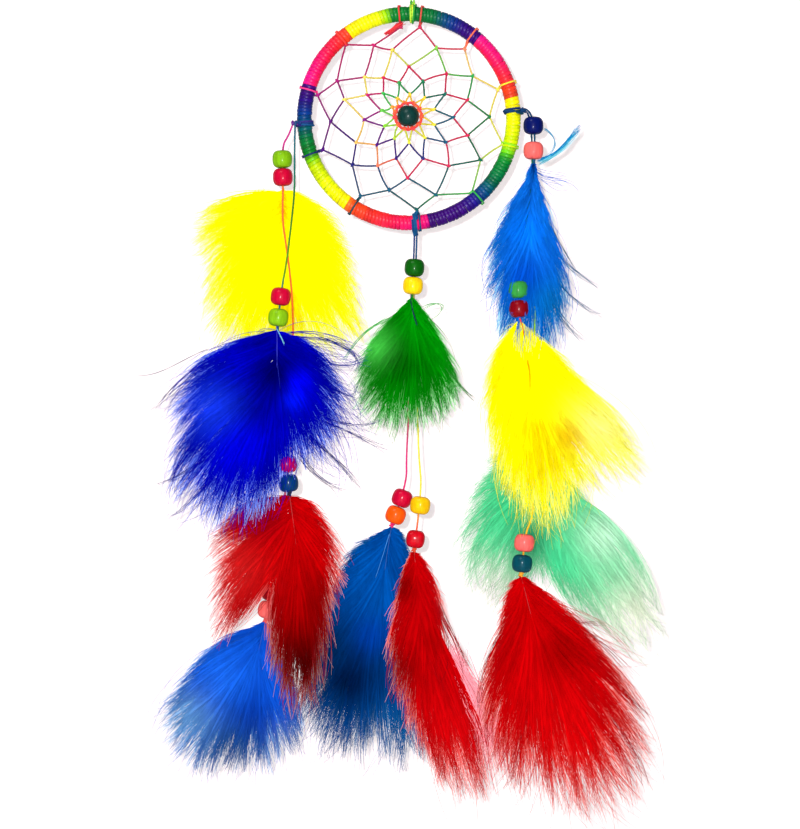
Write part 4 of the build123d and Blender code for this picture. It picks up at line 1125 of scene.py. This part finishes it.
feather("right_seagreen", "seagreen", right_green, 1, (26, -60), seed=30, rachis=0.35, ease=1.4, wave=2.2,
        bulge=0.15, wisps=200, droop=0.1, stay=0.1, fuzz=4000, thick=0.13, outline="""
    -4 3, -13 5, -19 0, -22 -8, -26 -16, -30 -26, -33 -36, -33 -46, -30 -56, -24 -64, -17 -70, -10 -68,
    0 -60, 12 -62, 22 -70, 32 -80, 42 -88, 52 -92, 60 -91, 67 -84, 67 -78, 60 -70, 52 -62, 43 -53, 36 -43,
    30 -32, 26 -22, 21 -12, 12 -2, 2 2
""", shades="60 190 130, 88 215 150, 160 200 165, 195 228 200", patches="""
    16 -50 11 60 220 150 0.7, -10 -26 12 40 180 115 0.6, 0 -40 9 30 120 80 0.8, 57 -80 22 236 238 216 0.95,
    38 -38 14 205 240 212 0.75, -18 -66 14 220 226 205 0.85""", strays="-21 -74 40 5, -10 -74 20 5")
feather("right_red", "scarlet", right_red, 1, (24, -94), seed=31, hairs=3900, locks=270, rachis=0.25,
        ease=1.45, stay=0.5, wisps=280, outline="""
    -3.5 -2.5, -6.5 -8.5, -9 -18.5, -10.5 -28.5, -12 -38.5, -16.5 -53.5, -18.5 -63.5, -17 -78.5, -13 -88.5,
    -8 -96, -3 -103, 4.5 -106, 12 -111, 19.5 -113.5, 29.5 -116, 39.5 -116, 47 -113, 56 -106, 61 -96,
    61.5 -86, 60 -76, 57 -66, 53 -58.5, 48 -51, 43 -43, 37 -36, 30 -30, 24 -24, 18 -18, 13 -13, 7 -6,
    3.5 -1.5
""", shades="155 0 3, 204 0 5, 212 25 30, 242 125 115", patches="""
    20 -40 11 135 0 0 0.8, 4 -20 7 165 0 0 0.6, 22 -88 28 226 5 10 0.7""", strays="""
    52 -36 8 3, 58 -46 8 3""", threads="""
    -9 -26 -17 -40 -21 -52 -21 -66 5 1.4 120 15 20, 24 -22 36 -30 46 -38 57 -52 6 1.6 130 20 25,
    20 -18 28 -26 34 -24 41 -24 5 1.2 130 15 20, 34 -42 48 -54 56 -62 64 -70 6 1.4 140 20 25,
    44 -70 56 -84 60 -96 63 -106 6 2 150 25 30, 2 -70 0 -84 -2 -94 -7 -106 6 2 150 25 30""")

# ---- carried-over rod ----

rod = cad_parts["hoop_ring"]
rod.data.materials.clear()
rod.data.materials.append(rod_finish)
shade = rod.data.color_attributes.new("tint", "FLOAT_COLOR", "POINT")
shade.data.foreach_set("color", np.tile([0.35, 0.3, 0.22, 1.0], len(rod.data.vertices)))

# ---- stage ----

# the wall is far enough behind for every pose, and both are wide enough to fill the view
WALL_Y = 450.0
WALL_HALF = 900.0
WALL_FOOT = -1000.0
WALL_TOP = 500.0
FLOOR_Z = -560.0
FLOOR_HALF = 3000.0


def panel(name, corners, material):
    mesh = bpy.data.meshes.new(name)
    mesh.from_pydata([tuple(vec(*corner) * MM) for corner in corners], [], [(0, 1, 2, 3)])
    mesh.materials.append(material)
    add_object(name, mesh)


def mix(tree, factor, first, second):
    """A shader that goes from the first to the second."""
    made = add_node(tree, "MixShader")
    for at, source in enumerate((factor, first, second)):
        tree.links.new(source, made.inputs[at])
    return made.outputs[0]


def backdrop(name, colour, glow, see_through):
    """Pale paint that looks white to the camera, and keeps the shadows that fall on it."""
    made = bpy.data.materials.new(name)
    made.use_nodes = True
    tree = made.node_tree
    tree.nodes.clear()
    both = add_node(tree, "AddShader")
    tree.links.new(add_node(tree, "BsdfDiffuse", Color=(*colour, 1)).outputs[0], both.inputs[0])
    tree.links.new(add_node(tree, "Emission", Strength=glow).outputs[0], both.inputs[1])
    plain = add_node(tree, "BsdfDiffuse", Color=(0.8, 0.8, 0.8, 1)).outputs[0]
    shown = mix(tree, add_node(tree, "LightPath").outputs["Is Camera Ray"], plain, both.outputs[0])
    if see_through:
        behind = add_node(tree, "NewGeometry").outputs["Backfacing"]
        shown = mix(tree, behind, shown, add_node(tree, "BsdfTransparent").outputs[0])
    tree.links.new(shown, add_node(tree, "OutputMaterial").inputs["Surface"])
    return made


panel("backdrop", [(-WALL_HALF, WALL_Y, WALL_FOOT), (WALL_HALF, WALL_Y, WALL_FOOT),
                   (WALL_HALF, WALL_Y, WALL_TOP), (-WALL_HALF, WALL_Y, WALL_TOP)],
      backdrop("white_wall", (0.97, 0.86, 0.86), 0.27, True))
panel("floor", [(-FLOOR_HALF, -FLOOR_HALF, FLOOR_Z), (FLOOR_HALF, -FLOOR_HALF, FLOOR_Z),
                (FLOOR_HALF, FLOOR_HALF, FLOOR_Z), (-FLOOR_HALF, FLOOR_HALF, FLOOR_Z)],
      backdrop("pale_floor", (0.92, 0.92, 0.92), 0.55, False))


def lamp(name, place, target, size, power):
    data = bpy.data.lights.new(name, "AREA")
    data.shape = "DISK"
    data.size = size * MM
    data.energy = power
    made = add_object(name, data)
    made.location = place * MM
    made.rotation_euler = Vector((target - place) * MM).to_track_quat("-Z", "Y").to_euler()


aim = vec(-6, 0, -243)
# the key is small and close to the camera, as the photo's flash is
lamp("key", VIEW_CENTRE + vec(-11, -CAMERA_AWAY, 10), VIEW_CENTRE, 6, 22.0)
lamp("top", aim + vec(-500, -900, 1100), aim, 700, 9.0)

# a dim even sky that the camera sees as white
world = bpy.data.worlds.new("studio")
world.use_nodes = True
bpy.context.scene.world = world
tree = world.node_tree
link = tree.links.new
fill = tree.nodes["Background"]
fill.inputs["Color"].default_value = (0.93, 0.95, 1.0, 1)
fill.inputs["Strength"].default_value = 0.24
white = add_node(tree, "Background", Strength=1.0)
path = add_node(tree, "LightPath")
seen = add_node(tree, "Math")
seen.operation = "MAXIMUM"
link(path.outputs["Is Camera Ray"], seen.inputs[0])
link(path.outputs["Is Transmission Ray"], seen.inputs[1])
sky = mix(tree, seen.outputs[0], fill.outputs[0], white.outputs[0])
link(sky, tree.nodes["World Output"].inputs["Surface"])

bpy.context.scene.view_settings.view_transform = "Standard"
